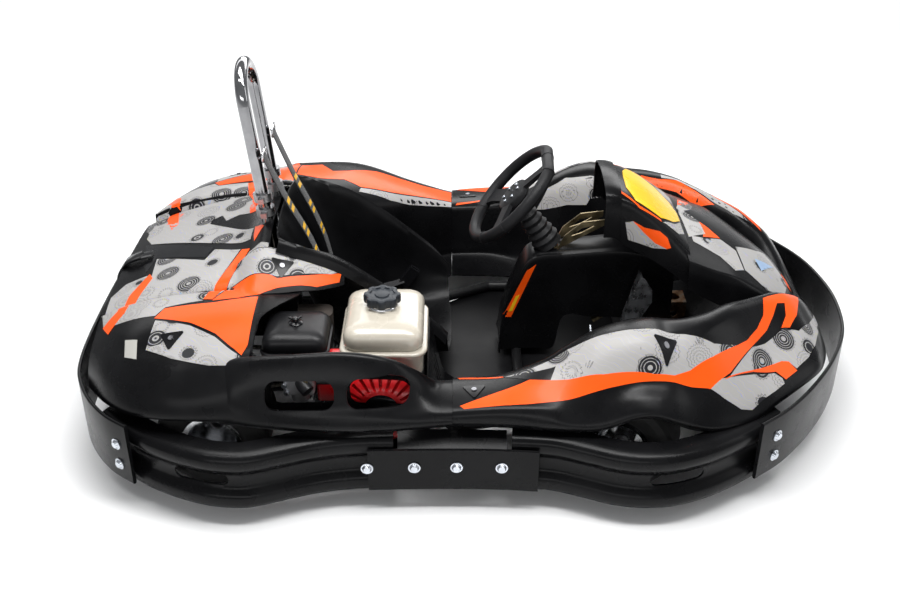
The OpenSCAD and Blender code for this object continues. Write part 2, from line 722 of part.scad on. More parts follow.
module engine_block() {
    color([0.2, 0.2, 0.2]) {
        rounded_slab([-345, -135], [-478, -296], [mount_z + 5.2, 244], 18);
        translate([-345, -392, 190]) rotate([0, -65, 0]) {
            cylinder(r = 52, h = 96, $fn = 64);
            for (i = [0:7]) translate([-56, -56, 20 + i * 10]) cube([112, 112, 4]);
        }
        translate([crank_x, 0, crank_z]) along_y(-296.5, -250, 12);
        for (x = [-310, -180]) slab([x, x + 16], [-440, -320], [243, 261.7]);
    }
}

module recoil_starter() {
    color("red") translate([crank_x, 0, crank_z]) difference() {
        union() {
            along_y(-520, -478.2, 86);
            slab([-84, 84], [-520, -478.2], [0, 84]);
            slab([-142, 92], [-532, -508], [20, 142]);
            along_y(-548, -519, 76);
        }
        for (a = [0:20:340]) rotate([0, a, 0]) slab([34, 68], [-560, -535], [-3, 3]);
    }
}

// The grip of the starter cord, with the stub of cord that shows
module recoil_handle() {
    color([0.1, 0.1, 0.1]) translate([grip_place[0], 0, grip_place[2]]) {
        translate([0, grip_place[1], 0]) rotate([0, 90, 0])
            cylinder(r = 9, h = 46, center = true, $fn = 40);
        along_y(grip_place[1] + 6, -533, 6);
    }
}

module fuel_tank() {
    neck = [crank_x, -370];
    color([0.92, 0.9, 0.84]) difference() {
        union() {
            rounded_slab([-333, -126], [-505, -255], [262, 330], 30);
            rounded_slab([-326, -133], [-498, -262], [329, 385], 34);
            translate([neck[0], neck[1], 380]) cylinder(r = 52, h = 30, $fn = 96);
            translate([neck[0], neck[1], 400]) cylinder(r = 34, h = 14, $fn = 96);
        }
        rounded_slab([-321, -138], [-493, -267], [265, 382], 28);
        translate([neck[0], neck[1], 370]) cylinder(r = 30, h = 50, $fn = 96);
    }
}

module fuel_cap() {
    color([0.25, 0.26, 0.28]) translate([crank_x, -370, 410.3]) difference() {
        linear_extrude(24) polygon([for (i = [0:71]) let (a = i * 5, r = 45 + 2.5 * cos(8 * a))
            [r * cos(a), r * sin(a)]]);
        translate([0, 0, -1]) cylinder(r = 34.2, h = 8, $fn = 96);
    }
}

module carburettor() {
    color([0.5, 0.5, 0.5]) {
        rounded_slab([-478, -402], [-528, -470], [232, 280], 8);
        translate([-440, -500, 206]) cylinder(r = 23, h = 27, $fn = 64);
        translate([-440, -494, 279]) cylinder(r = 18, h = 4.8, $fn = 64);
        translate([arm_pivot[0], 0, arm_pivot[1]]) along_y(-542, -527, 3);
    }
}

module throttle_arm() {
    color([0.75, 0.7, 0.5]) translate([arm_pivot[0], 0, arm_pivot[1]]) difference() {
        union() {
            along_y(-535, -531, 8);
            slab([-5, 5], [-535, -531], [0, 32]);
        }
        along_y(-550, -520, 3 + running);
        translate([0, 0, 26]) along_y(-550, -520, 2);
    }
}

module air_cleaner() {
    color([0.14, 0.14, 0.14]) {
        rounded_slab([-533, -362], [-465, -352], [296, 376], 20);
        rounded_slab([-500, -392], [-515, -430], [284, 297], 8);
        translate([-446, -408, 375]) cylinder(r = 12, h = 14, $fn = 48);
    }
}

module exhaust_muffler() {
    color([0.35, 0.33, 0.32]) {
        rounded_slab([-520, -372], [-326, -256], [262, 336], 24);
        translate([-519, -284, 300]) rotate([0, -90, 0]) cylinder(r = 10, h = 60, $fn = 48);
        rod([-398, -316, 240], [-412, -306, 264], 12);
    }
}

module clutch_sprocket() {
    color([0.5, 0.5, 0.52]) translate([crank_x, chain_y, crank_z]) {
        sprocket(clutch_teeth, clutch_pitch_r, 12 + running, 4);
        difference() {
            union() {
                along_y(-20, -6.5, 42);
                along_y(-6.6, -1.9, 17);
            }
            along_y(-22, 5, 12 + running);
        }
    }
}

// Side plates of the chain round both sprockets, with rollers on the free runs
module drive_chain() {
    d = [crank_x - rear_axle_x, crank_z - rear_axle_z];
    slope = atan2(d[1], d[0]);
    lean = acos((axle_pitch_r - clutch_pitch_r) / norm(d));
    run = sqrt(pow(norm(d), 2) - pow(axle_pitch_r - clutch_pitch_r, 2));
    color([0.45, 0.42, 0.36]) translate([rear_axle_x, chain_y, rear_axle_z]) rotate([0, -slope, 0]) {
        for (y = [-3.6, 5]) translate([0, y, 0]) rotate([90, 0, 0]) linear_extrude(1.4) difference() {
            polygon(loop_line(4, norm(d), lean));
            polygon(loop_line(-4, norm(d), lean));
        }
        for (s = [1, -1], i = [5:floor(run / pitch) - 4])
            translate([axle_pitch_r * cos(lean) + i * pitch * sin(lean), 0,
                    s * (axle_pitch_r * sin(lean) - i * pitch * cos(lean))])
                rotate([90, 0, 0]) cylinder(r = 2.6, h = 8, center = true, $fn = 16);
    }
}

// Outline round both sprockets, moved out by grow, in the chain's own plane
function loop_line(grow, d, lean) = concat(
    [for (i = [0:24]) let (a = lean + i * (360 - 2 * lean) / 24)
        (axle_pitch_r + grow) * [cos(a), sin(a)]],
    [for (i = [0:12]) let (a = -lean + i * 2 * lean / 12)
        [d, 0] + (clutch_pitch_r + grow) * [cos(a), sin(a)]]);

// ---- Pedals: the right one works the throttle, the left one the brake ----
module pedal_mounts() {
    color([0.45, 0.35, 0.28]) for (side = [near, far]) translate([0, side * pedal_y, 0]) {
        for (y = [-36, 32]) difference() {
            slab([456, 645], [y, y + 4], [81, 150]);
            for (x = [530, 570, 610]) translate([x, 0, 110]) along_y(-50, 50, 10);
        }
        difference() {
            slab([520, 645], [-36, 36], [146, 150]);
            for (x = [556, 610]) translate([x, 0, 140]) cylinder(r = 21, h = 20, $fn = 64);
        }
        translate([pedal_pivot[0], 0, pedal_pivot[1]]) along_y(-38, 38, 7);
    }
}

// A bent plate on a pivot tube
module pedal(side) {
    color("silver") translate([0, side * pedal_y, 0]) difference() {
        union() {
            profile([[464, 112], [420, 186], [446, 290], [462, 348], [467, 346], [452, 288], [427, 188],
                [472, 114]], -22, 22);
            translate([pedal_pivot[0], 0, pedal_pivot[1]]) along_y(-26, 26, 12);
        }
        translate([pedal_pivot[0], 0, pedal_pivot[1]]) along_y(-30, 30, 7 + running);
    }
}

frame_rail(near);  // frame_rail_R
frame_rail(far);  // frame_rail_L
frame_crossbars();
outer_tubes();
floor_tray();
seat();
front_pod(near);  // front_pod_R
front_pod(far);  // front_pod_L
rear_pod_R();
rear_pod_L();
rear_cover();
nose();
fairing();
tunnel_cover();
bumpers(bumper_front_path, slot_front_x, 700);  // front_bumpers
bumpers(bumper_rear_path, slot_rear_x, 700);  // rear_bumpers
bumper_plates();
strap(front_strap_path, 64, 228);  // front_strap
strap(rear_strap_path, 64, 236);  // rear_strap
bolts();
hoop();
hoop_clamps();
seat_belts();
belt_buckles();
steering_yokes();
knuckle(near);  // knuckle_R
knuckle(far);  // knuckle_L
tie_rod(near);  // tie_rod_R
tie_rod(far);  // tie_rod_L
front_rim(near);  // front_rim_R
front_rim(far);  // front_rim_L
front_tyre(near);  // front_tyre_R
front_tyre(far);  // front_tyre_L
steering_wheel();
steering_column();
steering_boot();
column_bracket();
rear_axle();
rear_hubs();
rear_rims();
rear_tyres();
axle_bearings();
axle_sprocket();
brake_disc();
brake_caliper();
engine_mount();
engine_block();
recoil_starter();
recoil_handle();
fuel_tank();
fuel_cap();
carburettor();
throttle_arm();
air_cleaner();
exhaust_muffler();
clutch_sprocket();
drive_chain();
pedal_mounts();
pedal(near);  // throttle_pedal
pedal(far);  // brake_pedal
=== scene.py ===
"""The rental kart's looks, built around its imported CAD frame.

Sizes and places are millimetres in the kart's own frame (+X forward, +Y the
driver's left, +Z up) and are turned into metres where a mesh is made.
"""

import math

import bmesh
import bpy
from mathutils import Matrix, Vector, geometry
from mathutils.bvhtree import BVHTree


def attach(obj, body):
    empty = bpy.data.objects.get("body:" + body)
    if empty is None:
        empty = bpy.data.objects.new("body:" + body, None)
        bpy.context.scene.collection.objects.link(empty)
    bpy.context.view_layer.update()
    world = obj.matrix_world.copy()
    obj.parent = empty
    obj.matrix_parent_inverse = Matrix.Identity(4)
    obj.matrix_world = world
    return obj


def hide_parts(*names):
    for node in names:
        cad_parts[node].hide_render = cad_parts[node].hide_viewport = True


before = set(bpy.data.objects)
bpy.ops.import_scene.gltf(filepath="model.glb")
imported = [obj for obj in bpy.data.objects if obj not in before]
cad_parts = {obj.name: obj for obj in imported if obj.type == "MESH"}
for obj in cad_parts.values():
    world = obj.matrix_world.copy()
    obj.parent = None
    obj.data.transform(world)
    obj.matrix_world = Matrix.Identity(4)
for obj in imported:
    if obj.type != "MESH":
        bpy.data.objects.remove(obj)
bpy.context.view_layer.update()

MM = 0.001
NEAR, FAR = -1, 1
PANEL_WALL = 4.0
SEAT_WALL = 5.0
FILM_LIFT = 0.9
FILM_THICK = 0.7
LAYER_STEP = 0.45
WHEEL_CENTRE = Vector((109, 0, 538))
COLUMN_TILT = math.radians(55)
STEER_REST = math.radians(-55)
WHEEL_TIP = math.radians(12.5)
RIM_RADIUS = 152
RIM_TUBE = 16.4
RIM_FLAT_RADIUS = 137
RIM_FLAT_ANGLE = 129
CRANK = Vector((-235, 0, 172))
CAP_CENTRE = Vector((-235, -370, 410))
CLEANER_KNOB = Vector((-448, -436, 0))
UPRIGHT = Matrix.Identity(3)
TO_THE_SIDE = Matrix.Rotation(math.radians(90), 3, "X")
SIDES = (("near", NEAR), ("far", FAR))


# ---- Camera, light and floor -------------------------------------------------

def add_camera():
    """The camera that was fitted to the view this model answers to."""
    camera = bpy.data.objects.new("camera", bpy.data.cameras.new("camera"))
    bpy.context.scene.collection.objects.link(camera)
    camera.location = (-0.0638, -2.793, 1.8125)
    camera.rotation_euler = (math.radians(60), 0, 0)
    camera.data.lens = 44.24
    camera.data.sensor_width = 36
    bpy.context.scene.camera = camera


def add_area_light(name, place, aim, size, power, colour=(1, 1, 1)):
    light = bpy.data.lights.new(name, "AREA")
    light.shape = "RECTANGLE"
    light.size, light.size_y = size
    light.energy = power
    light.color = colour
    obj = bpy.data.objects.new(name, light)
    obj.location = place
    obj.rotation_euler = (Vector(aim) - Vector(place)).to_track_quat("-Z", "Y").to_euler()
    bpy.context.scene.collection.objects.link(obj)


def add_studio():
    """Plain pale floor and soft lights."""
    world = bpy.data.worlds.new("studio")
    world.use_nodes = True
    background = world.node_tree.nodes["Background"]
    background.inputs["Color"].default_value = (0.95, 0.97, 1.0, 1)
    background.inputs["Strength"].default_value = 0.3
    bpy.context.scene.world = world
    bpy.context.scene.view_settings.view_transform = "Standard"
    add_area_light("key_top", (-0.2, -0.3, 2.9), (0, 0.1, 0.2), (3.0, 1.0), 80)
    add_area_light("fill_camera_side", (-0.6, -3.2, 1.3), (0, 0, 0.2), (3.2, 0.5), 16)
    add_area_light("rim_behind", (0.4, 3.0, 2.0), (0, 0, 0.3), (3.4, 0.8), 40)
    add_area_light("side_front", (3.0, -0.6, 1.5), (0.2, 0, 0.3), (0.8, 1.8), 8)
    add_area_light("strip_top", (0.0, -0.9, 2.5), (0, 0, 0.3), (3.2, 0.12), 30)
    add_area_light("floor_wash", (0, 5.5, 4.5), (0, 6.5, 0), (14.0, 4.0), 420)
    bpy.ops.mesh.primitive_plane_add(size=40, location=(0, 0, -0.0005))
    floor = bpy.context.object
    floor.name = "studio_floor"
    m = Surface("floor_paper", (0.95, 0.95, 0.95), 0.8)
    m.vary(0.5, 0.01, 0.03)
    floor.data.materials.append(m.material)


# ---- Materials ---------------------------------------------------------------

class Surface:
    """A Principled material whose colour, roughness and bump come from nodes."""

    def __init__(self, name, colour, rough, metallic=0.0, coat=0.0, specular=0.5):
        self.material = bpy.data.materials.new(name)
        self.material.use_nodes = True
        self.nodes = self.material.node_tree.nodes
        self.links = self.material.node_tree.links
        self.shader = self.nodes["Principled BSDF"]
        self.colour, self.rough = colour, rough
        self.shader.inputs["Base Color"].default_value = (*colour, 1)
        self.shader.inputs["Roughness"].default_value = rough
        self.shader.inputs["Metallic"].default_value = metallic
        self.shader.inputs["Coat Weight"].default_value = coat
        self.shader.inputs["Coat Roughness"].default_value = 0.08
        self.shader.inputs["Specular IOR Level"].default_value = specular
        self.place = self.nodes.new("ShaderNodeTexCoord").outputs["Object"]
        self.last_normal = None

    def node(self, kind, inputs=(), **settings):
        made = self.nodes.new(kind)
        for key, value in settings.items():
            setattr(made, key, value)
        for key, value in dict(inputs).items():
            if hasattr(value, "is_output"):
                self.links.new(value, made.inputs[key])
            else:
                made.inputs[key].default_value = value
        return made

    def noise(self, scale, detail=3.0, rough=0.55, vector=None):
        return self.node("ShaderNodeTexNoise", {"Vector": vector or self.place, "Scale": scale,
                                                "Detail": detail, "Roughness": rough})

    def ramp(self, value, stops):
        """Colour ramp: stops are (place, colour)."""
        made = self.node("ShaderNodeValToRGB", {"Fac": value})
        ramp = made.color_ramp
        while len(ramp.elements) < len(stops):
            ramp.elements.new(0.5)
        for element, (place, colour) in zip(ramp.elements, stops):
            element.position = place
            element.color = (*colour, 1)
        return made.outputs["Color"]

    def vary(self, scale, colour_by, rough_by):
        """Slow changes of colour and roughness over the surface."""
        field = self.noise(scale, 4.0).outputs["Fac"]
        low = [max(0.0, c * (1 - colour_by)) for c in self.colour]
        high = [min(1.0, c * (1 + colour_by) + 0.002) for c in self.colour]
        self.links.new(self.ramp(field, [(0.3, low), (0.7, high)]), self.shader.inputs["Base Color"])
        rough = self.node("ShaderNodeMapRange", {"Value": field, "From Min": 0.3, "From Max": 0.7,
                                                 "To Min": max(0.02, self.rough - rough_by),
                                                 "To Max": min(1.0, self.rough + rough_by)})
        self.links.new(rough.outputs["Result"], self.shader.inputs["Roughness"])

    def bump(self, height, strength, distance):
        made = self.node("ShaderNodeBump", {"Height": height, "Strength": strength, "Distance": distance})
        if self.last_normal:
            self.links.new(self.last_normal, made.inputs["Normal"])
        self.last_normal = made.outputs["Normal"]
        self.links.new(self.last_normal, self.shader.inputs["Normal"])

    def grain(self, scale, strength, distance=0.0004):
        self.bump(self.noise(scale, 2.0).outputs["Fac"], strength, distance)


def plastic(name, colour, rough, grain=900.0, strength=0.12, specular=0.5):
    m = Surface(name, colour, rough, specular=specular)
    m.vary(7.0, 0.25, 0.06)
    m.grain(grain, strength)
    m.bump(m.noise(26.0, 2.0).outputs["Fac"], 0.10, 0.002)
    return m.material


def painted(name, colour, rough, coat=0.6, vary=0.08):
    m = Surface(name, colour, rough, coat=coat)
    m.vary(14.0, vary, 0.05)
    m.bump(m.noise(160.0, 2.0).outputs["Fac"], 0.05, 0.0006)
    return m.material


def metal(name, colour, rough, scratch=300.0, stretch=(1, 1, 12), vary=0.12):
    m = Surface(name, colour, rough, metallic=1.0)
    m.vary(30.0, vary, rough * 0.35)
    mapped = m.node("ShaderNodeMapping", {"Vector": m.place, "Scale": stretch}).outputs["Vector"]
    m.bump(m.noise(scratch, 2.0, vector=mapped).outputs["Fac"], 0.06, 0.0003)
    return m.material


def cast_metal(name, colour, rough):
    m = Surface(name, colour, rough, metallic=0.75)
    m.vary(22.0, 0.3, 0.08)
    m.grain(420.0, 0.35, 0.0008)
    return m.material


def rubber(name, colour, rough, scale=500.0):
    m = Surface(name, colour, rough, specular=0.22)
    m.vary(18.0, 0.3, 0.07)
    m.grain(scale, 0.3, 0.0006)
    return m.material


def rusty(name):
    m = Surface(name, (0.3, 0.2, 0.13), 0.6, metallic=0.4)
    spots = m.noise(45.0, 6.0, 0.7).outputs["Fac"]
    m.links.new(m.ramp(spots, [(0.36, (0.32, 0.27, 0.22)), (0.5, (0.36, 0.21, 0.11)),
                               (0.64, (0.16, 0.07, 0.03))]), m.shader.inputs["Base Color"])
    m.bump(spots, 0.35, 0.001)
    return m.material


def webbing(name):
    """Woven belt: fine ribs across and along, in the belt's own colour."""
    m = Surface(name, (0.018, 0.018, 0.02), 0.72, specular=0.3)
    m.vary(60.0, 0.3, 0.06)
    along = m.node("ShaderNodeTexWave", {"Vector": m.place, "Scale": 260.0, "Distortion": 0.4},
                   bands_direction="Z").outputs["Fac"]
    across = m.node("ShaderNodeTexWave", {"Vector": m.place, "Scale": 200.0, "Distortion": 0.3},
                    bands_direction="Y").outputs["Fac"]
    m.bump(along, 0.5, 0.0006)
    m.bump(across, 0.35, 0.0005)
    m.shader.inputs["Sheen Weight"].default_value = 0.2
    return m.material


def film(name, colour, rough=0.34):
    """Printed film with a trace of orange peel."""
    m = Surface(name, colour, rough, coat=0.06, specular=0.22)
    m.vary(9.0, 0.05, 0.05)
    m.bump(m.noise(120.0, 2.0).outputs["Fac"], 0.04, 0.0005)
    return m.material


def silver_film(name):
    """Light grey film printed with generic toothed discs and rings, with faint pearl colours."""
    m = Surface(name, (0.6, 0.59, 0.57), 0.42, coat=0.08, specular=0.25)
    grey = (0.37, 0.36, 0.345)

    def calc(operation, a, b=0.0):
        return m.node("ShaderNodeMath", {0: a, 1: b}, operation=operation).outputs[0]

    cells = m.node("ShaderNodeTexVoronoi", {"Vector": m.place, "Scale": 13.5, "Randomness": 0.85})
    distance = cells.outputs["Distance"]
    which = m.node("ShaderNodeSeparateColor", {"Color": cells.outputs["Color"]}).outputs
    offset = m.node("ShaderNodeVectorMath", {0: m.place, 1: cells.outputs["Position"]}, operation="SUBTRACT")
    parts = m.node("ShaderNodeSeparateXYZ", {"Vector": offset.outputs[0]}).outputs
    angle = calc("ARCTAN2", parts["Y"], parts["X"])
    teeth = calc("MULTIPLY", calc("SINE", calc("MULTIPLY", angle, 22.0)), 0.022)
    toothed = calc("ADD", distance, teeth)
    dark_cell = calc("GREATER_THAN", which["Red"], 0.5)
    disc = calc("MULTIPLY", calc("LESS_THAN", toothed, 0.44), calc("GREATER_THAN", toothed, 0.1))
    pale_ring = calc("GREATER_THAN", calc("SINE", calc("MULTIPLY", distance, 75.0)), 0.65)
    disc = calc("MULTIPLY", disc, calc("SUBTRACT", 1.0, pale_ring))
    disc = calc("MULTIPLY", disc, dark_cell)
    lines = calc("GREATER_THAN", calc("SINE", calc("MULTIPLY", toothed, 58.0)), 0.84)
    lines = calc("MULTIPLY", lines, calc("LESS_THAN", distance, 0.5))
    lines = calc("MULTIPLY", lines, 0.6)
    ink = calc("MAXIMUM", disc, lines)
    streaks = m.node("ShaderNodeTexWave", {"Vector": m.place, "Scale": 21.0, "Distortion": 9.0,
                                           "Detail": 2.0}, bands_direction="DIAGONAL").outputs["Fac"]
    pearl = m.ramp(streaks, [(0.0, grey), (0.72, grey), (0.82, (0.24, 0.36, 0.48)), (0.9, (0.44, 0.29, 0.46)),
                             (0.96, (0.40, 0.40, 0.30))])
    colour = m.node("ShaderNodeMix", {"Factor": ink, 6: pearl, 7: (0.012, 0.012, 0.015, 1)},
                    data_type="RGBA").outputs[2]
    m.links.new(colour, m.shader.inputs["Base Color"])
    return m.material


MAT = {
    "black": plastic("black_polyethylene", (0.0035, 0.0035, 0.004), 0.27, specular=0.15),
    "black_gloss": plastic("black_gloss_plastic", (0.006, 0.006, 0.007), 0.18, strength=0.04, specular=0.3),
    "black_film": film("black_film", (0.008, 0.008, 0.009), 0.28),
    "orange": film("orange_film", (0.95, 0.09, 0.003)),
    "yellow": film("yellow_film", (0.86, 0.5, 0.012), 0.28),
    "silver": silver_film("silver_film"),
    "badge_blue": film("pearl_blue_film", (0.3, 0.42, 0.6), 0.3),
    "badge_metal": metal("badge_bolt_metal", (0.3, 0.3, 0.32), 0.3),
    "white_tab": film("pale_grey_film", (0.42, 0.41, 0.38), 0.4),
    "frame": plastic("frame_paint_black", (0.006, 0.006, 0.0065), 0.36, 200.0, 0.05, 0.25),
    "tray": plastic("tray_paint_black", (0.003, 0.003, 0.0035), 0.45, 200.0, 0.1, 0.1),
    "chrome": metal("chrome", (0.78, 0.78, 0.8), 0.07),
    "pedal": metal("pedal_chrome", (0.85, 0.86, 0.9), 0.3, 120.0),
    # Painted reflection: the hoop's chrome is darkened in colour to stand in for the dark surroundings it
    # reflects
    "hoop": metal("dark_reflection_chrome", (0.36, 0.36, 0.37), 0.06),
    "zinc": metal("bright_zinc", (0.62, 0.65, 0.7), 0.24),
    "steel": metal("machined_steel", (0.42, 0.42, 0.43), 0.32),
    "yellow_zinc": metal("yellow_zinc", (0.36, 0.29, 0.17), 0.4),
    "alloy": metal("rim_alloy", (0.68, 0.69, 0.71), 0.2),
    "iron": metal("disc_iron", (0.3, 0.3, 0.31), 0.35, stretch=(1, 12, 1)),
    "engine": cast_metal("cast_engine_alloy", (0.1, 0.1, 0.105), 0.5),
    "carb": cast_metal("cast_carburettor", (0.36, 0.36, 0.37), 0.42),
    "muffler": cast_metal("muffler_steel", (0.1, 0.085, 0.075), 0.55),
    "red": painted("red_paint", (0.66, 0.008, 0.012), 0.3, 0.7),
    "tank": painted("tank_paint", (0.5, 0.46, 0.385), 0.26, 0.5, 0.05),
    "cap": plastic("cap_plastic", (0.02, 0.024, 0.03), 0.42, 600.0, 0.2, specular=0.3),
    "cleaner": plastic("cleaner_plastic", (0.008, 0.008, 0.009), 0.36, 500.0, 0.2, specular=0.25),
    "tyre": rubber("tyre_rubber", (0.018, 0.018, 0.018), 0.66),
    "grip": rubber("grip_rubber", (0.007, 0.007, 0.008), 0.5, 900.0),
    "boot": rubber("boot_rubber", (0.014, 0.014, 0.015), 0.5),
    "seat": plastic("seat_plastic", (0.0035, 0.0035, 0.004), 0.3, specular=0.16),
    "webbing": webbing("belt_webbing"),
    "belt_mark": film("belt_mark_yellow", (0.75, 0.42, 0.02), 0.5),
    "chain": metal("oiled_chain", (0.25, 0.23, 0.2), 0.45),
    "rusty": rusty("rusty_steel"),
}


# ---- Mesh helpers --------------------------------------------------------------

def spline(points, per):
    """Catmull-Rom through points of any number of coordinates, per steps a span."""
    out = []
    for i in range(len(points) - 1):
        a, b, c, d = (points[min(max(i + k, 0), len(points) - 1)] for k in (-1, 0, 1, 2))
        for k in range(per):
            t = k / per
            out.append(tuple(0.5 * (2 * q + (r - p) * t + (2 * p - 5 * q + 4 * r - s) * t * t
                                    + (3 * q - p - 3 * r + s) * t ** 3)
                             for p, q, r, s in zip(a, b, c, d)))
    return out + [tuple(points[-1])]


def new_object(name, mesh, mat, replaces=(), body="chassis"):
    """A visible piece that rides a body, in place of CAD nodes where it says so."""
    mesh.name = name
    mesh.materials.append(MAT[mat])
    obj = bpy.data.objects.new(name, mesh)
    bpy.context.scene.collection.objects.link(obj)
    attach(obj, body)
    if replaces:
        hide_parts(*replaces)
    return obj


def mesh_from(verts, faces, sharp_angle=40):
    mesh = bpy.data.meshes.new("mesh")
    mesh.from_pydata([Vector(v) * MM for v in verts], [], faces)
    work = bmesh.new()
    work.from_mesh(mesh)
    bmesh.ops.remove_doubles(work, verts=work.verts, dist=0.00002)
    bmesh.ops.recalc_face_normals(work, faces=work.faces)
    work.to_mesh(mesh)
    work.free()
    mesh.shade_smooth()
    mesh.set_sharp_from_angle(angle=math.radians(sharp_angle))
    return mesh


def grid_faces(rows, cols, close_rows=False, close_cols=False, start=0):
    out = []
    for i in range(rows if close_rows else rows - 1):
        for j in range(cols if close_cols else cols - 1):
            i1, j1 = (i + 1) % rows, (j + 1) % cols
            out.append((start + i * cols + j, start + i1 * cols + j,
                        start + i1 * cols + j1, start + i * cols + j1))
    return out


def shell_mesh(grid, thickness, sharp_angle=40):
    """A wall: the grid's points, and the same points moved inward along their normals."""
    rows, cols = len(grid), len(grid[0])
    flat = [Vector(p) for row in grid for p in row]
    faces = grid_faces(rows, cols)
    normals = [Vector() for _ in flat]
    for f in faces:
        n = (flat[f[2]] - flat[f[0]]).cross(flat[f[3]] - flat[f[1]])
        for k in f:
            normals[k] += n
    normals = [n.normalized() if n.length > 0 else Vector((0, 0, 1)) for n in normals]
    inner = [p - n * thickness for p, n in zip(flat, normals)]
    back = [tuple(len(flat) + k for k in reversed(f)) for f in faces]
    border = ([j for j in range(cols)] + [i * cols + cols - 1 for i in range(1, rows)]
              + [(rows - 1) * cols + j for j in range(cols - 2, -1, -1)]
              + [i * cols for i in range(rows - 2, 0, -1)])
    rim = [(border[k - 1], border[k], len(flat) + border[k], len(flat) + border[k - 1])
           for k in range(len(border))]
    return mesh_from(flat + inner, faces + back + rim, sharp_angle)


def smooth_grid(rows, per_row, per_column):
    """Points smoothed both ways through rows of equally many points."""
    lines = [spline(row, per_row) for row in rows]
    columns = [spline([line[j] for line in lines], per_column) for j in range(len(lines[0]))]
    return [list(row) for row in zip(*columns)]


def station_grid(rows, per_x, per_y, side):
    """A panel's smoothed points on one side of the kart, ordered so that its outside is up."""
    grid = [[(x, side * y, z) for x, y, z in row] for row in smooth_grid(rows, per_y, per_x)]
    return grid if side == NEAR else [row[::-1] for row in grid]


def body_piece(name, mesh, mat="black", replaces=()):
    return new_object(name, mesh, mat, replaces)


def steering_piece(name, mesh, mat="grip", replaces=()):
    return new_object(name, mesh, mat, replaces, "steering")


def panel(name, rows, side, replaces=(), per_x=7, per_y=6):
    """A moulded wall of the bodywork, smoothed through rows that run across the kart."""
    return body_piece(name, shell_mesh(station_grid(rows, per_x, per_y, side), PANEL_WALL),
                      replaces=replaces)


def sweep_mesh(path, section, sharp_angle=35):
    """Section points (outward, z) carried along a plan path; outward is right of the walk."""
    rings = []
    for i, (x, y) in enumerate(path):
        t = (Vector(path[min(i + 1, len(path) - 1)]) - Vector(path[max(i - 1, 0)])).normalized()
        out = Vector((t.y, -t.x))
        rings.append([(x + out.x * u, y + out.y * u, z) for u, z in section])
    return prism_mesh(rings, sharp_angle)


def lathe_mesh(profile, place, turn, steps=96, sharp_angle=35):
    """Closed (radius, height) outline turned about Z, then placed by a rotation matrix."""
    verts = []
    for i in range(steps):
        verts += [Vector(place) + turn @ Vector((*polar(r, 2 * math.pi * i / steps), h)) for r, h in profile]
    return mesh_from(verts, grid_faces(steps, len(profile), True, True), sharp_angle)


def tube_mesh(path, radius, sides=20, closed=False, sharp_angle=50):
    """A round bar through 3-D points."""
    points = [Vector(p) for p in path]
    n = len(points)
    rings = []
    up = None
    for i in range(n):
        a = points[(i - 1) % n] if closed else points[max(i - 1, 0)]
        b = points[(i + 1) % n] if closed else points[min(i + 1, n - 1)]
        t = (b - a).normalized()
        if up is None:
            up = t.orthogonal().normalized()
        up = (up - t * up.dot(t)).normalized()
        side = t.cross(up)
        turns = [polar(radius, 2 * math.pi * k / sides) for k in range(sides)]
        rings.append([points[i] + up * u + side * v for u, v in turns])
    if not closed:
        return prism_mesh(rings, sharp_angle)
    return mesh_from([p for ring in rings for p in ring], grid_faces(n, sides, True, True), sharp_angle)


def polar(radius, angle):
    return radius * math.cos(angle), radius * math.sin(angle)


def rounded_outline(x, y, radius, steps=8):
    """Corner-rounded rectangle, as plan points."""
    out = []
    for cx, cy, start in ((x[1] - radius, y[1] - radius, 0), (x[0] + radius, y[1] - radius, 90),
                          (x[0] + radius, y[0] + radius, 180), (x[1] - radius, y[0] + radius, 270)):
        for k in range(steps + 1):
            u, v = polar(radius, math.radians(start + 90 * k / steps))
            out.append((cx + u, cy + v))
    return out


def prism_mesh(rings, sharp_angle=40):
    """A solid through rings of equally many points, closed by a flat face at each end."""
    n = len(rings[0])
    faces = grid_faces(len(rings), n, False, True)
    faces += [tuple(range(n)), tuple((len(rings) - 1) * n + j for j in reversed(range(n)))]
    return mesh_from([p for ring in rings for p in ring], faces, sharp_angle)


def stacked_mesh(layers, sharp_angle=40):
    """A solid through layers of (outline of plan points, z), all of one length."""
    return prism_mesh([[(x, y, z) for x, y in outline] for outline, z in layers], sharp_angle)


def shrunk(span, inward):
    """An extent with both ends moved in."""
    return span[0] + inward, span[1] - inward


def inset_outline(x, y, inward, radius):
    return rounded_outline(shrunk(x, inward), shrunk(y, inward), radius)


def rounded_box_layers(x, y, z, radius, edge):
    """Layers of a box with rounded plan corners and rounded top and bottom edges."""
    turns = [math.pi / 2 * k / 4 for k in range(5)]
    low = [(edge * (1 - math.sin(a)), z[0] + edge * (1 - math.cos(a))) for a in turns]
    high = [(edge * (1 - math.cos(a)), z[1] - edge * (1 - math.sin(a))) for a in turns]
    return [(inset_outline(x, y, inward, radius - inward * 0.6), height) for inward, height in low + high]


def apply_modifiers(obj):
    graph = bpy.context.evaluated_depsgraph_get()
    obj.data = bpy.data.meshes.new_from_object(obj.evaluated_get(graph))
    obj.modifiers.clear()


def cut(obj, cutters):
    """Subtracts temporary meshes from a piece."""
    for mesh in cutters:
        cutter = bpy.data.objects.new("cutter", mesh)
        bpy.context.scene.collection.objects.link(cutter)
        modifier = obj.modifiers.new("cut", "BOOLEAN")
        modifier.object = cutter
        modifier.solver = "EXACT"
        bpy.context.view_layer.update()
        apply_modifiers(obj)
        bpy.data.objects.remove(cutter)
    obj.data.set_sharp_from_angle(angle=math.radians(40))


# ---- Bodywork ------------------------------------------------------------------

def at(x, profile):
    """A station across the kart: points of one x."""
    return [(x, y, z) for y, z in profile]


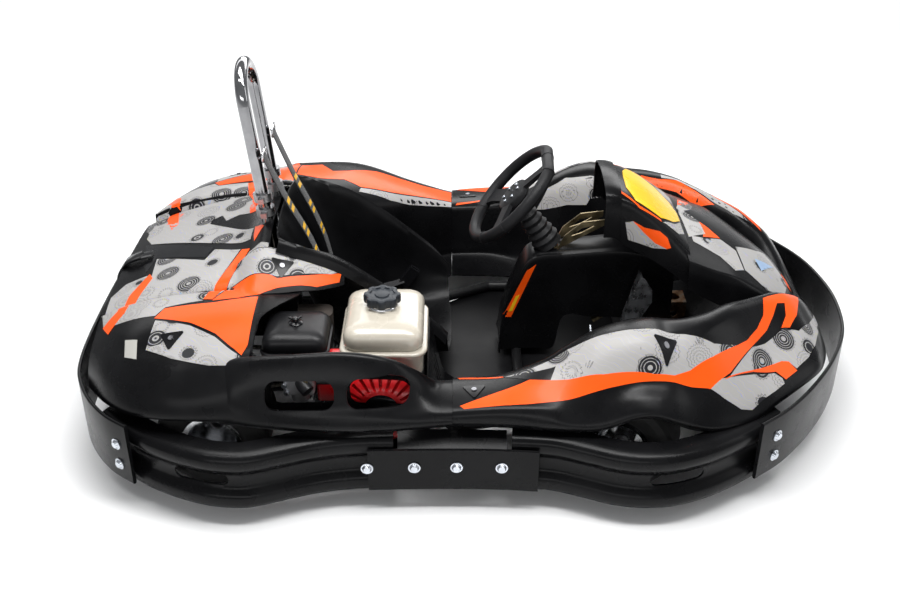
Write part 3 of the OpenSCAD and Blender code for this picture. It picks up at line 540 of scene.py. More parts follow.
# Rows across the panel: the floor's edge, up the inner wall, over the crest and the
# decal's lower line, to the outer lower edge. The last rows fan round to the nose.
FRONT_POD = [
    at(-57, [(360, 84), (480, 88), (494, 124), (496, 235), (506, 262), (560, 268), (622, 262), (640, 254),
             (646, 239), (640, 222)]),
    at(60, [(356, 84), (470, 94), (486, 132), (490, 243), (502, 271), (560, 277), (624, 271), (643, 262),
            (650, 241), (644, 222)]),
    at(165, [(356, 84), (432, 102), (450, 150), (466, 270), (492, 306), (556, 300), (620, 276), (644, 264),
             (658, 238), (650, 218)]),
    at(225, [(373, 130), (400, 142), (425, 176), (454, 312), (492, 342), (556, 324), (613, 284), (650, 250),
             (662, 232), (652, 214)]),
    at(296, [(392, 182), (397, 188), (405, 198), (438, 352), (498, 386), (560, 362), (605, 306), (647, 262),
             (666, 236), (656, 220)]),
    at(375, [(381, 194), (384, 199), (391, 208), (428, 378), (505, 410), (562, 386), (598, 321), (642, 292),
             (666, 268), (656, 252)]),
    at(427, [(380, 189), (383, 195), (389, 205), (420, 382), (503, 408), (558, 384), (595, 321), (640, 294),
             (665, 272), (655, 256)]),
    at(470, [(380, 182), (383, 188), (388, 198), (412, 374), (497, 397), (550, 372), (590, 318), (636, 284),
             (662, 256), (652, 240)]),
    at(515, [(345, 155), (354, 174), (366, 200), (420, 378), (488, 400), (540, 366), (588, 301), (630, 262),
             (652, 234), (644, 216)]),
    at(573, [(284, 106), (322, 150), (344, 190), (392, 374), (460, 404), (520, 360), (586, 288), (624, 240),
             (642, 216), (632, 200)]),
    at(637, [(268, 116), (296, 156), (312, 200), (350, 372), (410, 406), (490, 346), (574, 260), (600, 228),
             (616, 208), (606, 194)]),
    at(690, [(258, 126), (272, 160), (284, 210), (312, 358), (365, 396), (452, 338), (548, 252), (572, 226),
             (586, 206), (574, 190)]),
    at(745, [(252, 132), (256, 160), (260, 210), (268, 344), (318, 383), (410, 326), (506, 262), (532, 241),
             (546, 222), (534, 204)]),
    [(776, 236, 132), (778, 238, 160), (780, 239, 210), (784, 236, 332), (802, 264, 366), (832, 350, 322),
     (852, 415, 276), (859, 437, 260), (864, 449, 240), (853, 440, 220)],
    [(804, 215, 130), (806, 215, 155), (809, 215, 205), (817, 206, 308), (842, 228, 343), (872, 295, 308),
     (893, 350, 270), (901, 367, 252), (908, 379, 230), (897, 370, 210)],
    [(832, 190, 126), (836, 190, 150), (840, 190, 200), (852, 180, 282), (876, 200, 318), (903, 250, 290),
     (921, 282, 258), (928, 293, 241), (934, 301, 222), (922, 295, 204)],
    [(860, 150, 122), (864, 150, 145), (868, 150, 188), (880, 142, 256), (901, 158, 283), (925, 178, 263),
     (938, 190, 241), (943, 196, 229), (948, 201, 210), (937, 198, 192)],
    [(878, 80, 118), (882, 80, 140), (886, 80, 172), (898, 80, 226), (917, 86, 249), (935, 90, 239),
     (945, 94, 227), (950, 97, 217), (953, 100, 200), (942, 100, 184)],
    [(888, 0, 116), (892, 0, 136), (896, 0, 166), (906, 0, 214), (923, 0, 237), (939, 0, 229),
     (947, 0, 220), (951, 0, 211), (954, 0, 198), (943, 0, 182)],
]
# Painted shade: thin black sills under the pod, below and above the steering rods, that darken the gap where
# the floor would show through
POD_SHADE_SILLS = [
    ("low", [at(236, [(350, 47), (355, 66), (352, 88)]), at(420, [(350, 47), (355, 66), (352, 88)]),
             at(560, [(292, 52), (297, 70), (294, 90)]), at(680, [(246, 92), (251, 108), (250, 124)])]),
    ("high", [at(236, [(362, 112), (366, 130), (372, 148)]), at(330, [(366, 114), (372, 140), (386, 178)]),
              at(452, [(352, 180), (362, 182), (378, 184)]), at(520, [(330, 112), (338, 134), (346, 154)])]),
]
# The outer rail beside the engine, then the fender behind it, on the engine's side
ENGINE_RAIL = [
    at(-612, [(538, 222), (552, 322), (572, 348), (594, 350), (624, 312), (642, 282), (652, 256), (654, 242),
              (644, 228)]),
    at(-578, [(540, 230), (556, 340), (578, 368), (598, 371), (630, 336), (650, 300), (658, 268), (660, 246),
              (648, 232)]),
    at(-520, [(556, 215), (566, 345), (584, 377), (603, 382), (634, 334), (650, 290), (660, 262), (664, 240),
              (652, 226)]),
    at(-430, [(562, 200), (570, 350), (586, 384), (604, 387), (634, 336), (650, 284), (662, 258), (668, 236),
              (656, 220)]),
    at(-310, [(562, 200), (568, 350), (582, 387), (600, 389), (630, 338), (647, 284), (662, 258), (670, 234),
              (658, 218)]),
    at(-215, [(556, 190), (562, 330), (572, 364), (588, 366), (620, 318), (642, 274), (658, 252), (664, 232),
              (652, 216)]),
    at(-150, [(530, 160), (538, 290), (550, 318), (568, 320), (606, 290), (634, 264), (650, 248), (656, 232),
              (646, 218)]),
    at(-100, [(505, 130), (512, 250), (530, 272), (556, 276), (604, 268), (634, 257), (645, 246), (650, 233),
              (642, 220)]),
    at(-58, [(494, 120), (498, 240), (520, 262), (556, 266), (604, 263), (632, 255), (642, 244), (646, 234),
             (640, 222)]),
]
def tuck(z):
    """The rear fender's turned-in edge, from its lowest point."""
    return [(300, z), (301, z + 20), (302, z + 36)]


FENDER = [
    at(-545, tuck(264) + [(306, 390), (340, 412), (450, 408), (548, 386), (592, 376),
              (632, 332), (652, 290), (660, 252), (648, 236)]),
    at(-600, tuck(264) + [(306, 392), (340, 412), (450, 406), (548, 378), (588, 366),
              (630, 326), (651, 290), (660, 254), (648, 240)]),
    at(-680, tuck(264) + [(306, 388), (340, 406), (450, 398), (545, 368), (582, 352),
              (624, 316), (646, 286), (656, 254), (644, 240)]),
    at(-760, tuck(264) + [(306, 380), (340, 396), (450, 386), (535, 360), (570, 346),
              (612, 314), (634, 284), (646, 252), (634, 238)]),
    at(-840, tuck(254) + [(306, 366), (340, 380), (440, 368), (515, 344), (546, 330),
              (584, 304), (606, 276), (618, 246), (606, 232)]),
    at(-910, tuck(204) + [(306, 344), (334, 354), (410, 342), (468, 322), (498, 310),
              (530, 288), (550, 264), (562, 238), (550, 224)]),
    at(-975, [(298, 154), (299, 174), (300, 190), (304, 312), (326, 320), (370, 308), (410, 296), (430, 286),
              (452, 268), (466, 246), (474, 222), (462, 208)]),
]
# The near fender's top runs forward in a point, beside the air cleaner
FENDER_TIP = [
    (-470, 300, 264), (-468, 301, 284), (-466, 302, 300), (-458, 306, 386), (-452, 330, 402),
    (-530, 445, 407), (-541, 548, 386), (-543, 592, 376), (-543, 632, 332), (-543, 652, 290),
    (-543, 660, 252), (-543, 648, 236)]
# The far side carries on past the seat to the front pod
FAR_SIDE = FENDER[::-1] + [
    at(-370, [(230, 86), (316, 106), (322, 150), (326, 300), (340, 352), (400, 376), (500, 384), (592, 376),
              (632, 330), (650, 284), (660, 246), (648, 230)]),
    at(-200, [(230, 84), (404, 92), (420, 124), (426, 220), (436, 290), (460, 318), (520, 326), (590, 318),
              (628, 286), (646, 258), (656, 232), (644, 216)]),
    at(-59, [(360, 84), (480, 88), (494, 124), (496, 200), (498, 240), (508, 262), (556, 266), (604, 263),
             (632, 255), (642, 244), (646, 234), (640, 222)]),
]


# Windows beside the engine: fore and aft extents, and the cutter's drop at each distance across
WINDOWS = [(-502, -338), (-308, -160)]
WINDOW_HEIGHTS, WINDOW_CORNER = (276, 345), 26
WINDOW_SLOPE = [(-740, 0), (-606, 0), (-530, 74)]


def build_side_bodies():
    """Pods, black sills of painted shade under them, engine rail and rear fenders."""
    for label, rows in POD_SHADE_SILLS:
        panel("pod_sill_%s_near" % label, rows, NEAR)
        panel("pod_sill_%s_far" % label, rows, FAR)
    panel("front_pod_near", FRONT_POD, NEAR, ("front_pod_R",))
    panel("front_pod_far", FRONT_POD, FAR, ("front_pod_L",))
    rail = panel("engine_side_rail", ENGINE_RAIL, NEAR, ("rear_pod_R",), 10, 6)
    cutters = []
    for x in WINDOWS:
        outline = rounded_outline(x, WINDOW_HEIGHTS, WINDOW_CORNER)
        rings = [[(u, y, v - drop) for u, v in outline] for y, drop in WINDOW_SLOPE]
        cutters.append(prism_mesh(rings))
    cut(rail, cutters)
    panel("rear_fender_near", FENDER[::-1] + [FENDER_TIP], NEAR)
    panel("rear_side_far", FAR_SIDE, FAR, ("rear_pod_L",))


def across(x, half):
    """A station from the right edge to the left of a piece that is the same on both sides."""
    return at(x, [(-y, z) for y, z in half[::-1]] + [(y, z) for y, z in half if y > 0])


REAR_COVER = [
    across(-990, [(0, 322), (120, 320), (240, 314), (288, 296), (291, 236)]),
    across(-900, [(0, 356), (120, 354), (250, 349), (293, 332), (295, 270)]),
    across(-800, [(0, 388), (120, 386), (250, 381), (293, 362), (295, 300)]),
    across(-700, [(0, 416), (120, 414), (250, 407), (293, 386), (295, 320)]),
    across(-640, [(0, 436), (90, 434), (216, 424), (290, 402), (294, 330)]),
    across(-600, [(0, 462), (90, 460), (170, 446), (236, 438), (290, 400)]),
    across(-566, [(0, 494), (90, 498), (160, 478), (240, 452), (292, 398)]),
    across(-540, [(0, 500), (90, 506), (160, 490), (240, 452), (293, 396)]),
]
# Wings beside the seat: the near one stops before the tank
WING = [
    at(-630, [(208, 418), (216, 424), (238, 416), (274, 400), (312, 396), (344, 402)]),
    at(-566, [(206, 440), (214, 478), (238, 466), (274, 448), (312, 428), (346, 414)]),
    at(-500, [(206, 430), (214, 468), (238, 457), (270, 442), (302, 424), (332, 410)]),
    at(-450, [(206, 412), (214, 455), (236, 447), (262, 434), (288, 419), (312, 405)]),
    at(-412, [(206, 397), (214, 441), (234, 434), (256, 424), (276, 411), (296, 398)]),
    at(-374, [(206, 380), (214, 425), (230, 420), (246, 413), (260, 403), (272, 392)]),
    at(-344, [(206, 366), (214, 411), (222, 409), (232, 405), (242, 398), (250, 390)]),
]
NOSE = [
    across(566, [(0, 470), (90, 466), (200, 450), (228, 437), (240, 372)]),
    across(640, [(0, 447), (90, 441), (200, 421), (230, 405), (244, 332)]),
    across(700, [(0, 420), (90, 414), (196, 399), (226, 381), (240, 300)]),
    across(760, [(0, 388), (88, 382), (184, 363), (214, 343), (228, 262)]),
    across(820, [(0, 350), (80, 343), (166, 321), (196, 301), (210, 226)]),
    across(872, [(0, 306), (70, 300), (140, 278), (168, 258), (182, 190)]),
    across(908, [(0, 264), (58, 258), (114, 240), (138, 222), (150, 170)]),
    across(930, [(0, 236), (48, 232), (92, 216), (110, 202), (118, 165)]),
]
FAIRING = [
    across(376, [(0, 600), (50, 597), (100, 588), (121, 562), (126, 470)]),
    across(420, [(0, 585), (52, 582), (108, 574), (130, 547), (136, 440)]),
    across(470, [(0, 556), (58, 553), (120, 545), (144, 518), (152, 420)]),
    across(520, [(0, 517), (66, 514), (140, 506), (167, 480), (178, 396)]),
    across(574, [(0, 470), (78, 467), (170, 459), (202, 434), (214, 366)]),
]
# Panel that closes the footwell's front under the nose, and the floor's rise to it
FRONT_FLOOR = [
    across(430, [(0, 76), (100, 76), (200, 77), (300, 82), (352, 90)]),
    across(560, [(0, 84), (100, 84), (200, 88), (280, 98), (330, 150)]),
    across(660, [(0, 108), (90, 108), (180, 112), (262, 124), (300, 160)]),
    across(760, [(0, 168), (90, 168), (180, 170), (252, 174), (276, 190)]),
    across(840, [(0, 206), (80, 206), (160, 206), (214, 204), (236, 204)]),
]


def centre_panel(name, rows, replaces=(), per_x=7, per_y=6):
    """A panel across the kart, from rows made by across()."""
    return panel(name, [row[::-1] for row in rows], FAR, replaces, per_x, per_y)


def build_centre_bodies():
    """Rear cover, nose, fairing, front floor and the wings beside the seat."""
    centre_panel("rear_cover_body", REAR_COVER, ("rear_cover",))
    centre_panel("nose_body", NOSE, ("nose",))
    centre_panel("fairing_body", FAIRING, ("fairing",))
    centre_panel("front_floor", FRONT_FLOOR)
    for label, side in SIDES:
        panel("seat_wing_" + label, WING, side)


def build_console():
    """The centre console and column tunnel, with its rounded ridge."""
    stations = [
        (78, 70, 84, 72), (86, 60, 170, 72), (112, 56, 262, 72), (150, 54, 352, 72), (184, 52, 376, 72),
        (236, 52, 382, 76), (262, 52, 384, 180), (340, 54, 392, 180), (420, 58, 398, 180),
        (500, 62, 384, 180), (566, 66, 358, 180)]
    rows = []
    for x, w, top, foot in stations:
        half = [(0, top + 2), (w - 24, top), (w - 8, top - 6), (w, top - 22), (w + 2, (foot + top) / 2),
                (w + 6, foot)]
        rows.append(across(x, half))
    centre_panel("console_body", rows, ("tunnel_cover",), 6, 4)


def build_engine_cover():
    """The moulded wall between the engine and the driver's floor, with its slots."""
    rows = [
        at(-56, [(492, 88), (400, 86), (300, 85), (238, 86)]),
        at(-84, [(494, 120), (400, 116), (300, 112), (236, 112)]),
        at(-100, [(500, 170), (400, 168), (300, 166), (234, 168)]),
        at(-112, [(506, 220), (400, 222), (300, 226), (232, 230)]),
        at(-122, [(510, 252), (400, 262), (300, 270), (232, 280)]),
    ]
    wall = panel("engine_front_wall", rows, NEAR, per_x=5, per_y=6)
    slots = []
    for y in (-300, -330, -360):
        outline = rounded_outline((y - 5, y + 5), (130, 215), 5)
        slots.append(prism_mesh([[(x, u, v) for u, v in outline] for x in (-160, -50)]))
    cut(wall, slots)


SEAT_HALF = [
    [(-520, 228, 476), (-512, 210, 500), (-520, 182, 497), (-526, 140, 498), (-530, 70, 500), (-531, 0, 500)],
    [(-478, 230, 462), (-470, 212, 487), (-475, 196, 440), (-478, 160, 402), (-484, 80, 392), (-486, 0, 390)],
    [(-426, 230, 444), (-420, 212, 468), (-425, 198, 340), (-432, 168, 272), (-442, 80, 258), (-444, 0, 256)],
    [(-364, 230, 418), (-360, 212, 442), (-362, 200, 250), (-380, 168, 162), (-395, 80, 140), (-398, 0, 138)],
    [(-292, 230, 372), (-290, 212, 397), (-290, 202, 210), (-292, 168, 118), (-295, 80, 100), (-296, 0, 98)],
    [(-202, 228, 304), (-200, 210, 329), (-200, 200, 190), (-198, 164, 108), (-196, 80, 96), (-195, 0, 94)],
    [(-124, 226, 238), (-120, 208, 262), (-118, 196, 176), (-112, 154, 118), (-104, 80, 104), (-100, 0, 102)],
    [(-78, 222, 186), (-72, 204, 210), (-70, 190, 160), (-66, 150, 120), (-60, 80, 110), (-58, 0, 108)],
]


def build_seat():
    """The seat shell, smoothed through its own rows from back to front."""
    rows = []
    for half in SEAT_HALF:
        right = [(x, -y, z) for x, y, z in half]
        left = half[-2::-1]
        rows.append(right + left)
    body_piece("seat_shell", shell_mesh(smooth_grid(rows, 5, 6), -SEAT_WALL), "seat", ("seat",))


# ---- Bumpers and straps --------------------------------------------------------

BUMPER_SECTION = [
    (-64, 203), (-30, 203), (-14, 200), (-4, 192), (0, 181), (-1, 168), (-6, 156), (-15, 146), (-20, 136),
    (-20, 106), (-14, 96), (-4, 90), (1, 80), (2, 64), (-3, 52), (-14, 45), (-40, 43), (-64, 44),
    (-64, 49), (-22, 51), (-9, 60), (-7, 82), (-20, 98), (-27, 108), (-27, 134), (-20, 150), (-9, 162),
    (-7, 180), (-14, 193), (-30, 198), (-64, 198)]
BUMPER_REAR = [(-935, -560), (-880, -610), (-846, -636), (-790, -675), (-717, -712), (-640, -738),
               (-566, -746), (-520, -738), (-475, -722), (-382, -690), (-290, -674), (-200, -671)]
BUMPER_FRONT = [(84, -671), (180, -680), (254, -706), (325, -734), (393, -746), (470, -740),
                (543, -715), (613, -678), (690, -625), (730, -592), (765, -562)]


def slot_cutter(x, y):
    """Lengthwise slot through a bumper."""
    outline = rounded_outline((x - 68, x + 68), (106, 138), 15)
    return prism_mesh([[(u, v, z) for u, z in outline] for v in (y - 70, y + 70)])


def mirrored(mesh):
    """A copy of a mesh on the other side of the kart."""
    copy = mesh.copy()
    copy.materials.clear()
    copy.transform(Matrix.Scale(-1, 4, (0, 1, 0)))
    copy.flip_normals()
    return copy


def build_bumpers():
    """Hollow side bumpers, mirrored to the far side."""
    for label, path, slot_x, node in (("rear", BUMPER_REAR, -660, "rear_bumpers"),
                                      ("front", BUMPER_FRONT, 480, "front_bumpers")):
        walk = spline(path, 8)
        mesh = sweep_mesh(walk, BUMPER_SECTION)
        near = body_piece(label + "_bumper_near", mesh, replaces=(node,))
        cut(near, [slot_cutter(slot_x, -715)])
        body_piece(label + "_bumper_far", mirrored(near.data))


STRAP_FRONT = [(690, -648), (765, -588), (838, -510), (910, -415), (962, -330), (1010, -230), (1036, -130),
               (1048, 0)]
STRAP_REAR = [(-840, -668), (-903, -620), (-960, -552), (-1005, -470), (-1030, -385), (-1043, -240),
              (-1048, 0)]


def strap_mesh(half, low, high, thickness, outward):
    """A flat belt of plastic round an end of the kart, with rounded upper and lower edges."""
    path = spline(half + [(x, -y) for x, y in reversed(half[:-1])], 6)
    r = thickness / 2
    section = []
    for centre, start in ((high - r, 0), (low + r, 180)):
        for u, v in (polar(r, math.radians(start + 180 * k / 6)) for k in range(7)):
            section.append((outward * (u - r), centre + v))
    return sweep_mesh(path, section)


def build_straps():
    """The belts of plastic round the front and the rear."""
    for label, half, top, outward in (("front", STRAP_FRONT, 229, 1), ("rear", STRAP_REAR, 237, -1)):
        name = label + "_strap_belt"
        body_piece(name, strap_mesh(half, 62, top, 10, outward), replaces=(label + "_strap",))


# ---- Printed films and badges ----------------------------------------------------

def surface_of(names):
    """One search tree, in millimetres, over the meshes of several panels."""
    verts, faces = [], []
    for name in names:
        mesh = bpy.data.objects[name].data
        start = len(verts)
        verts += [v.co / MM for v in mesh.vertices]
        faces += [[start + k for k in f.vertices] for f in mesh.polygons]
    return BVHTree.FromPolygons(verts, faces)


def inside(point, outline):
    """Whether a plan point is in the outline, and at least 4 mm from its edge."""
    x, y = point
    odd = False
    for (x0, y0), (x1, y1) in zip(outline, outline[1:] + outline[:1]):
        if (y0 > y) != (y1 > y) and x < x0 + (y - y0) * (x1 - x0) / (y1 - y0):
            odd = not odd
        near, _ = geometry.intersect_point_line(Vector((x, y, 0)), Vector((x0, y0, 0)), Vector((x1, y1, 0)))
        along = (near - Vector((x0, y0, 0))).dot(Vector((x1 - x0, y1 - y0, 0)))
        if 0 <= along <= (x1 - x0) ** 2 + (y1 - y0) ** 2 and (near - Vector((x, y, 0))).length < 4:
            return False
    return odd


def film_mesh(tree, outline, lift, thick, from_side=0, grid=9.0):
    """A thin sheet laid on a surface; its outline is in plan, or seen from the side."""
    edge = []
    for (x0, y0), (x1, y1) in zip(outline, outline[1:] + outline[:1]):
        n = max(1, math.ceil(math.hypot(x1 - x0, y1 - y0) / grid))
        edge += [(x0 + (x1 - x0) * k / n, y0 + (y1 - y0) * k / n) for k in range(n)]
    xs, ys = [q[0] for q in edge], [q[1] for q in edge]
    fill = [(min(xs) + grid * (i + 0.5 * (j % 2)), min(ys) + grid * j)
            for i in range(int((max(xs) - min(xs)) / grid) + 1)
            for j in range(int((max(ys) - min(ys)) / grid) + 1)]
    points = [Vector(q) for q in edge + [q for q in fill if inside(q, edge)]]
    ring = [(k, (k + 1) % len(edge)) for k in range(len(edge))]
    flat, _, tris, *_ = geometry.delaunay_2d_cdt(points, ring, [], 1, 0.01)
    top, low = [], []
    for q in flat:
        start, ray = Vector((q.x, q.y, 2000)), Vector((0, 0, -1))
        if from_side:
            start, ray = Vector((q.x, from_side * 1500, q.y)), Vector((0, -from_side, 0))
        hit, normal, _, _ = tree.ray_cast(start, ray)
        if hit:
            normal = normal if normal.dot(ray) < 0 else -normal
            top.append(hit + normal * lift)
            low.append(hit + normal * (lift - thick))
        else:
            top.append(None)
            low.append(None)
    depth = 1 if from_side else 2
    kept = [t for t in tris if all(top[k] for k in t)
            and max(top[k][depth] for k in t) - min(top[k][depth] for k in t) < 34]
    used = sorted({k for t in kept for k in t})
    index = {k: i for i, k in enumerate(used)}
    n = len(used)
    faces = [tuple(index[k] for k in t) for t in kept]
    sides = {}
    for t in faces:
        for a, b in zip(t, t[1:] + t[:1]):
            sides[(a, b)] = (b, a) not in sides
            if not sides[(a, b)]:
                sides[(b, a)] = False
    walls = [(b, a, n + a, n + b) for (a, b), open_side in sides.items() if open_side]
    under = [tuple(n + k for k in reversed(t)) for t in faces]
    return mesh_from([top[k] for k in used] + [low[k] for k in used], faces + under + walls, 50)


# Outlines in plan as (x, distance toward the engine's side); the pods and fenders carry
# them on both sides, the centre pieces once
POD_FILMS = [
    ("pod_orange", "orange", 0, [
        (-40, 625), (50, 585), (130, 555), (180, 570), (220, 580), (305, 590), (425, 590), (475, 585),
        (515, 570), (575, 535), (645, 485), (675, 460), (710, 415), (735, 370), (745, 315), (760, 300),
        (875, 200), (865, 240), (840, 315), (810, 365), (785, 375), (805, 335), (810, 295), (785, 310),
        (765, 355), (740, 400), (705, 445), (620, 545), (565, 590), (495, 595), (425, 600), (315, 610),
        (225, 620), (120, 630), (-30, 635)]),
    ("pod_edge_strip", "orange", 0, [(-45, 505), (65, 520), (70, 525), (-40, 515)]),
    ("pod_silver", "silver", 0, [
        (70, 525), (225, 500), (270, 505), (390, 515), (440, 505), (490, 510), (580, 510), (610, 500),
        (645, 485), (575, 535), (515, 570), (475, 585), (425, 590), (305, 590), (220, 580), (180, 570),
        (195, 535)]),
    ("pod_wedge", "black_film", 0, [(195, 535), (180, 570), (130, 555), (70, 525)]),
    ("pod_front_orange", "orange", 1, [
        (600, 565), (620, 550), (705, 500), (770, 460), (790, 455), (810, 470), (775, 500), (750, 490),
        (725, 500), (685, 515), (640, 540)]),
    ("pod_silver_low", "silver", 0, [
        (565, 590), (595, 565), (685, 520), (745, 495), (765, 500), (770, 510), (740, 535), (705, 560),
        (675, 585), (645, 595), (600, 595)]),
    ("pod_silver_front", "silver", 0, [
        (620, 550), (690, 465), (705, 455), (730, 435), (760, 405), (790, 375), (835, 365), (880, 305),
        (910, 250), (925, 205), (930, 230), (910, 300), (880, 375), (850, 425), (810, 465), (790, 455),
        (770, 460), (705, 500)]),
]
FENDER_FILMS = [
    ("fender_orange", "orange", 0, [
        (-665, 370), (-645, 330), (-630, 290), (-525, 290), (-510, 295), (-435, 270), (-375, 245),
        (-350, 230), (-355, 255), (-410, 290), (-450, 300), (-505, 320), (-555, 350), (-600, 365)]),
    ("fender_orange_low", "orange", 0, [
        (-805, 415), (-785, 380), (-660, 380), (-600, 370), (-550, 360), (-550, 545), (-560, 580),
        (-580, 555), (-605, 530), (-635, 500), (-705, 455)]),
    ("fender_silver_low", "silver", 0, [
        (-800, 425), (-705, 465), (-635, 510), (-605, 540), (-555, 590), (-550, 605), (-640, 590),
        (-735, 560), (-805, 520)]),
    ("fender_stripe", "orange", 1, [
        (-625, 140), (-600, 155), (-630, 240), (-660, 350), (-665, 365), (-690, 360), (-675, 280)]),
    ("fender_silver_right", "silver", 0, [
        (-660, 355), (-630, 245), (-600, 170), (-565, 170), (-500, 210), (-440, 220), (-350, 225),
        (-375, 245), (-435, 265), (-510, 290), (-630, 285)]),
    ("fender_silver_left", "silver", 0, [
        (-885, 50), (-730, 140), (-710, 90), (-630, 135), (-675, 280), (-690, 365), (-785, 375), (-805, 405),
        (-925, 385), (-890, 265), (-875, 165)]),
    ("fender_low_stripe", "orange", 1, [
        (-885, 135), (-920, 230), (-925, 325), (-955, 370), (-930, 410), (-900, 350), (-890, 260),
        (-870, 165)]),
    ("fender_silver_corner", "silver", 0, [
        (-890, 140), (-920, 230), (-925, 325), (-955, 365), (-975, 300), (-980, 200), (-950, 150)]),
    ("fender_tab", "white_tab", 0, [(-870, 465), (-835, 480), (-825, 540), (-860, 520)]),
]
COVER_FILMS = [
    ("cover_recess", "black_gloss", 0, [(-950, -80), (-715, 75), (-730, 125), (-885, 45), (-900, 120)]),
    ("cover_panel", "silver", 1, [
        (-960, -205), (-900, -185), (-755, -155), (-760, -95), (-605, 50), (-605, 110), (-630, 100),
        (-930, -70), (-960, -130)]),
    ("cover_orange_tip", "orange", 1, [(-600, 50), (-565, 110), (-590, 135), (-595, 110)]),
    ("cover_cell_1", "silver", 0, [(-870, -250), (-770, -245), (-750, -170), (-755, -160), (-885, -190)]),
    ("cover_cell_2", "silver", 0, [
        (-740, -250), (-650, -240), (-650, -145), (-640, -95), (-730, -135), (-745, -205)]),
    ("cover_rim", "orange", 0, [
        (-650, -240), (-640, -240), (-630, -150), (-620, -90), (-640, -95), (-650, -145)]),
    ("cover_arc", "orange", 0, [(-885, -250), (-870, -250), (-885, -190), (-900, -190), (-915, -195)]),
]
NOSE_FILMS = [
    ("nose_silver", "silver", 0, [
        (610, -170), (645, -145), (630, -95), (600, -60), (635, -10), (640, 60), (615, 80), (585, 105),
        (580, -65)]),
    ("nose_orange_tip", "orange", 0, [(635, -10), (650, 5), (685, 50), (630, 80), (640, 40)]),
    ("nose_silver_low", "silver", 0, [
        (635, 85), (685, 55), (725, 80), (730, 165), (700, 190), (665, 150), (595, 120), (595, 95)]),
    ("nose_silver_front", "silver", 0, [
        (730, 55), (805, 0), (840, -35), (890, 60), (860, 140), (795, 185), (735, 160)]),
    ("nose_orange_corner", "orange", 1, [(880, 20), (895, 25), (905, 60), (890, 65)]),
    ("nose_blue_badge", "badge_blue", 2, [(785, 65), (850, 35), (795, 110)]),
    ("nose_orange_far", "orange", 0, [(590, -100), (605, -175), (640, -180), (620, -130)]),
]
FAIRING_FILMS = [
    ("fairing_yellow", "yellow", 1, [
        (430, -90), (455, -100), (515, -95), (555, -60), (570, -10), (570, 40), (540, 90), (500, 125),
        (430, 110), (410, 60), (410, 0), (415, -50)]),
    ("fairing_silver", "silver", 0, [(570, 45), (570, 110), (550, 140), (505, 135), (545, 95)]),
    ("fairing_silver_far", "silver", 0, [(555, -65), (570, -30), (570, -120), (555, -135), (520, -110)]),
]
# The outline line round the fairing's yellow panel, mirrored about the middle
LINE_INNER = [(385, 38), (395, 92), (440, 122), (498, 132)]
LINE_OUTER = [(378, 38), (390, 97), (440, 128), (500, 138)]
FAIRING_LINE = LINE_INNER + LINE_OUTER[::-1] + [(x, -y) for x, y in LINE_OUTER + LINE_INNER[::-1]]
FAIRING_SIDE = [
    ("side_silver", "silver", [
        (405, 515), (425, 520), (455, 490), (485, 465), (515, 455), (480, 450), (415, 465)]),
    ("side_orange", "orange", [
        (425, 520), (455, 505), (495, 500), (515, 485), (525, 460), (515, 455), (485, 465), (455, 490)]),
]
# Recessed triangular badges: middle and size
BADGE_LIFT, BADGE_THICK, BADGE_BOLT = 2.6, 2.4, 6.5
POD_BADGES = [(-5, 570, 34), (455, 545, 36)]
FENDER_BADGES = [(-500, 260, 36), (-745, 500, 36)]


# On the inner wall of the far pod, as (x, z)
FAR_INNER_SILVER = [
    (215, 280), (250, 350), (305, 385), (380, 400), (425, 400), (425, 345), (380, 335), (370, 315),
    (310, 310), (240, 285)]
# What only the far side shows: the crest of its pod and the top beside the seat
FAR_FILMS = [
    ("far_crest_orange", "orange", "front_pod_far", [
        (540, 435), (600, 400), (645, 380), (695, 335), (745, 280), (700, 300), (640, 350), (580, 390),
        (540, 420)]),
    ("far_crest_silver", "silver", "front_pod_far", [
        (600, 425), (670, 370), (725, 330), (800, 260), (850, 215), (795, 240), (745, 285), (695, 340),
        (640, 385), (600, 405)]),
    ("far_side_orange", "orange", "rear_side_far", [
        (-545, 545), (-480, 550), (-440, 490), (-395, 500), (-300, 545), (-160, 560), (-60, 600), (-60, 525),
        (-160, 480), (-255, 440), (-345, 410), (-400, 435), (-470, 420), (-545, 420)]),
    ("far_side_silver", "silver", "rear_side_far", [
        (-60, 520), (-60, 500), (-160, 455), (-255, 410), (-350, 385), (-345, 405), (-255, 435),
        (-160, 475)]),
]



def lay_film(name, mat, targets, layer, outline, side=NEAR):
    """A film whose outline is in plan, laid on panels from above."""
    flat = [(x, side * y) for x, y in outline]
    body_piece(name, film_mesh(surface_of(targets), flat, FILM_LIFT + LAYER_STEP * layer, FILM_THICK), mat)


def lay_badge(name, targets, centre, size, side):
    """A dark triangle with rounded corners, set under a round bolt head."""
    x, y = centre[0], side * centre[1]
    tree = surface_of(targets)
    corners = [Vector((x, y)) + Vector(polar(size, math.radians(side * 90 + k * 120))) for k in range(3)]
    outline = []
    for k in range(3):
        before, here, after = corners[k - 1], corners[k], corners[(k + 1) % 3]
        outline += [tuple(here + (other - here) * t)
                    for other, t in ((before, 0.22), (before, 0.08), (after, 0.08), (after, 0.22))]
    body_piece(name, film_mesh(tree, outline, BADGE_LIFT, BADGE_THICK, grid=6.0), "black_gloss")
    head = [(x + u, y + v) for u, v in (polar(BADGE_BOLT, math.radians(a)) for a in range(0, 360, 24))]
    body_piece(name + "_bolt", film_mesh(tree, head, 2 * BADGE_LIFT, BADGE_LIFT, grid=5.0), "badge_metal")


def side_film(name, mat, target, outline, side=NEAR, lift=FILM_LIFT):
    """A film whose outline is (x, z), laid on a panel from one side of the kart."""
    body_piece(name, film_mesh(surface_of([target]), outline, lift, FILM_THICK, side), mat)


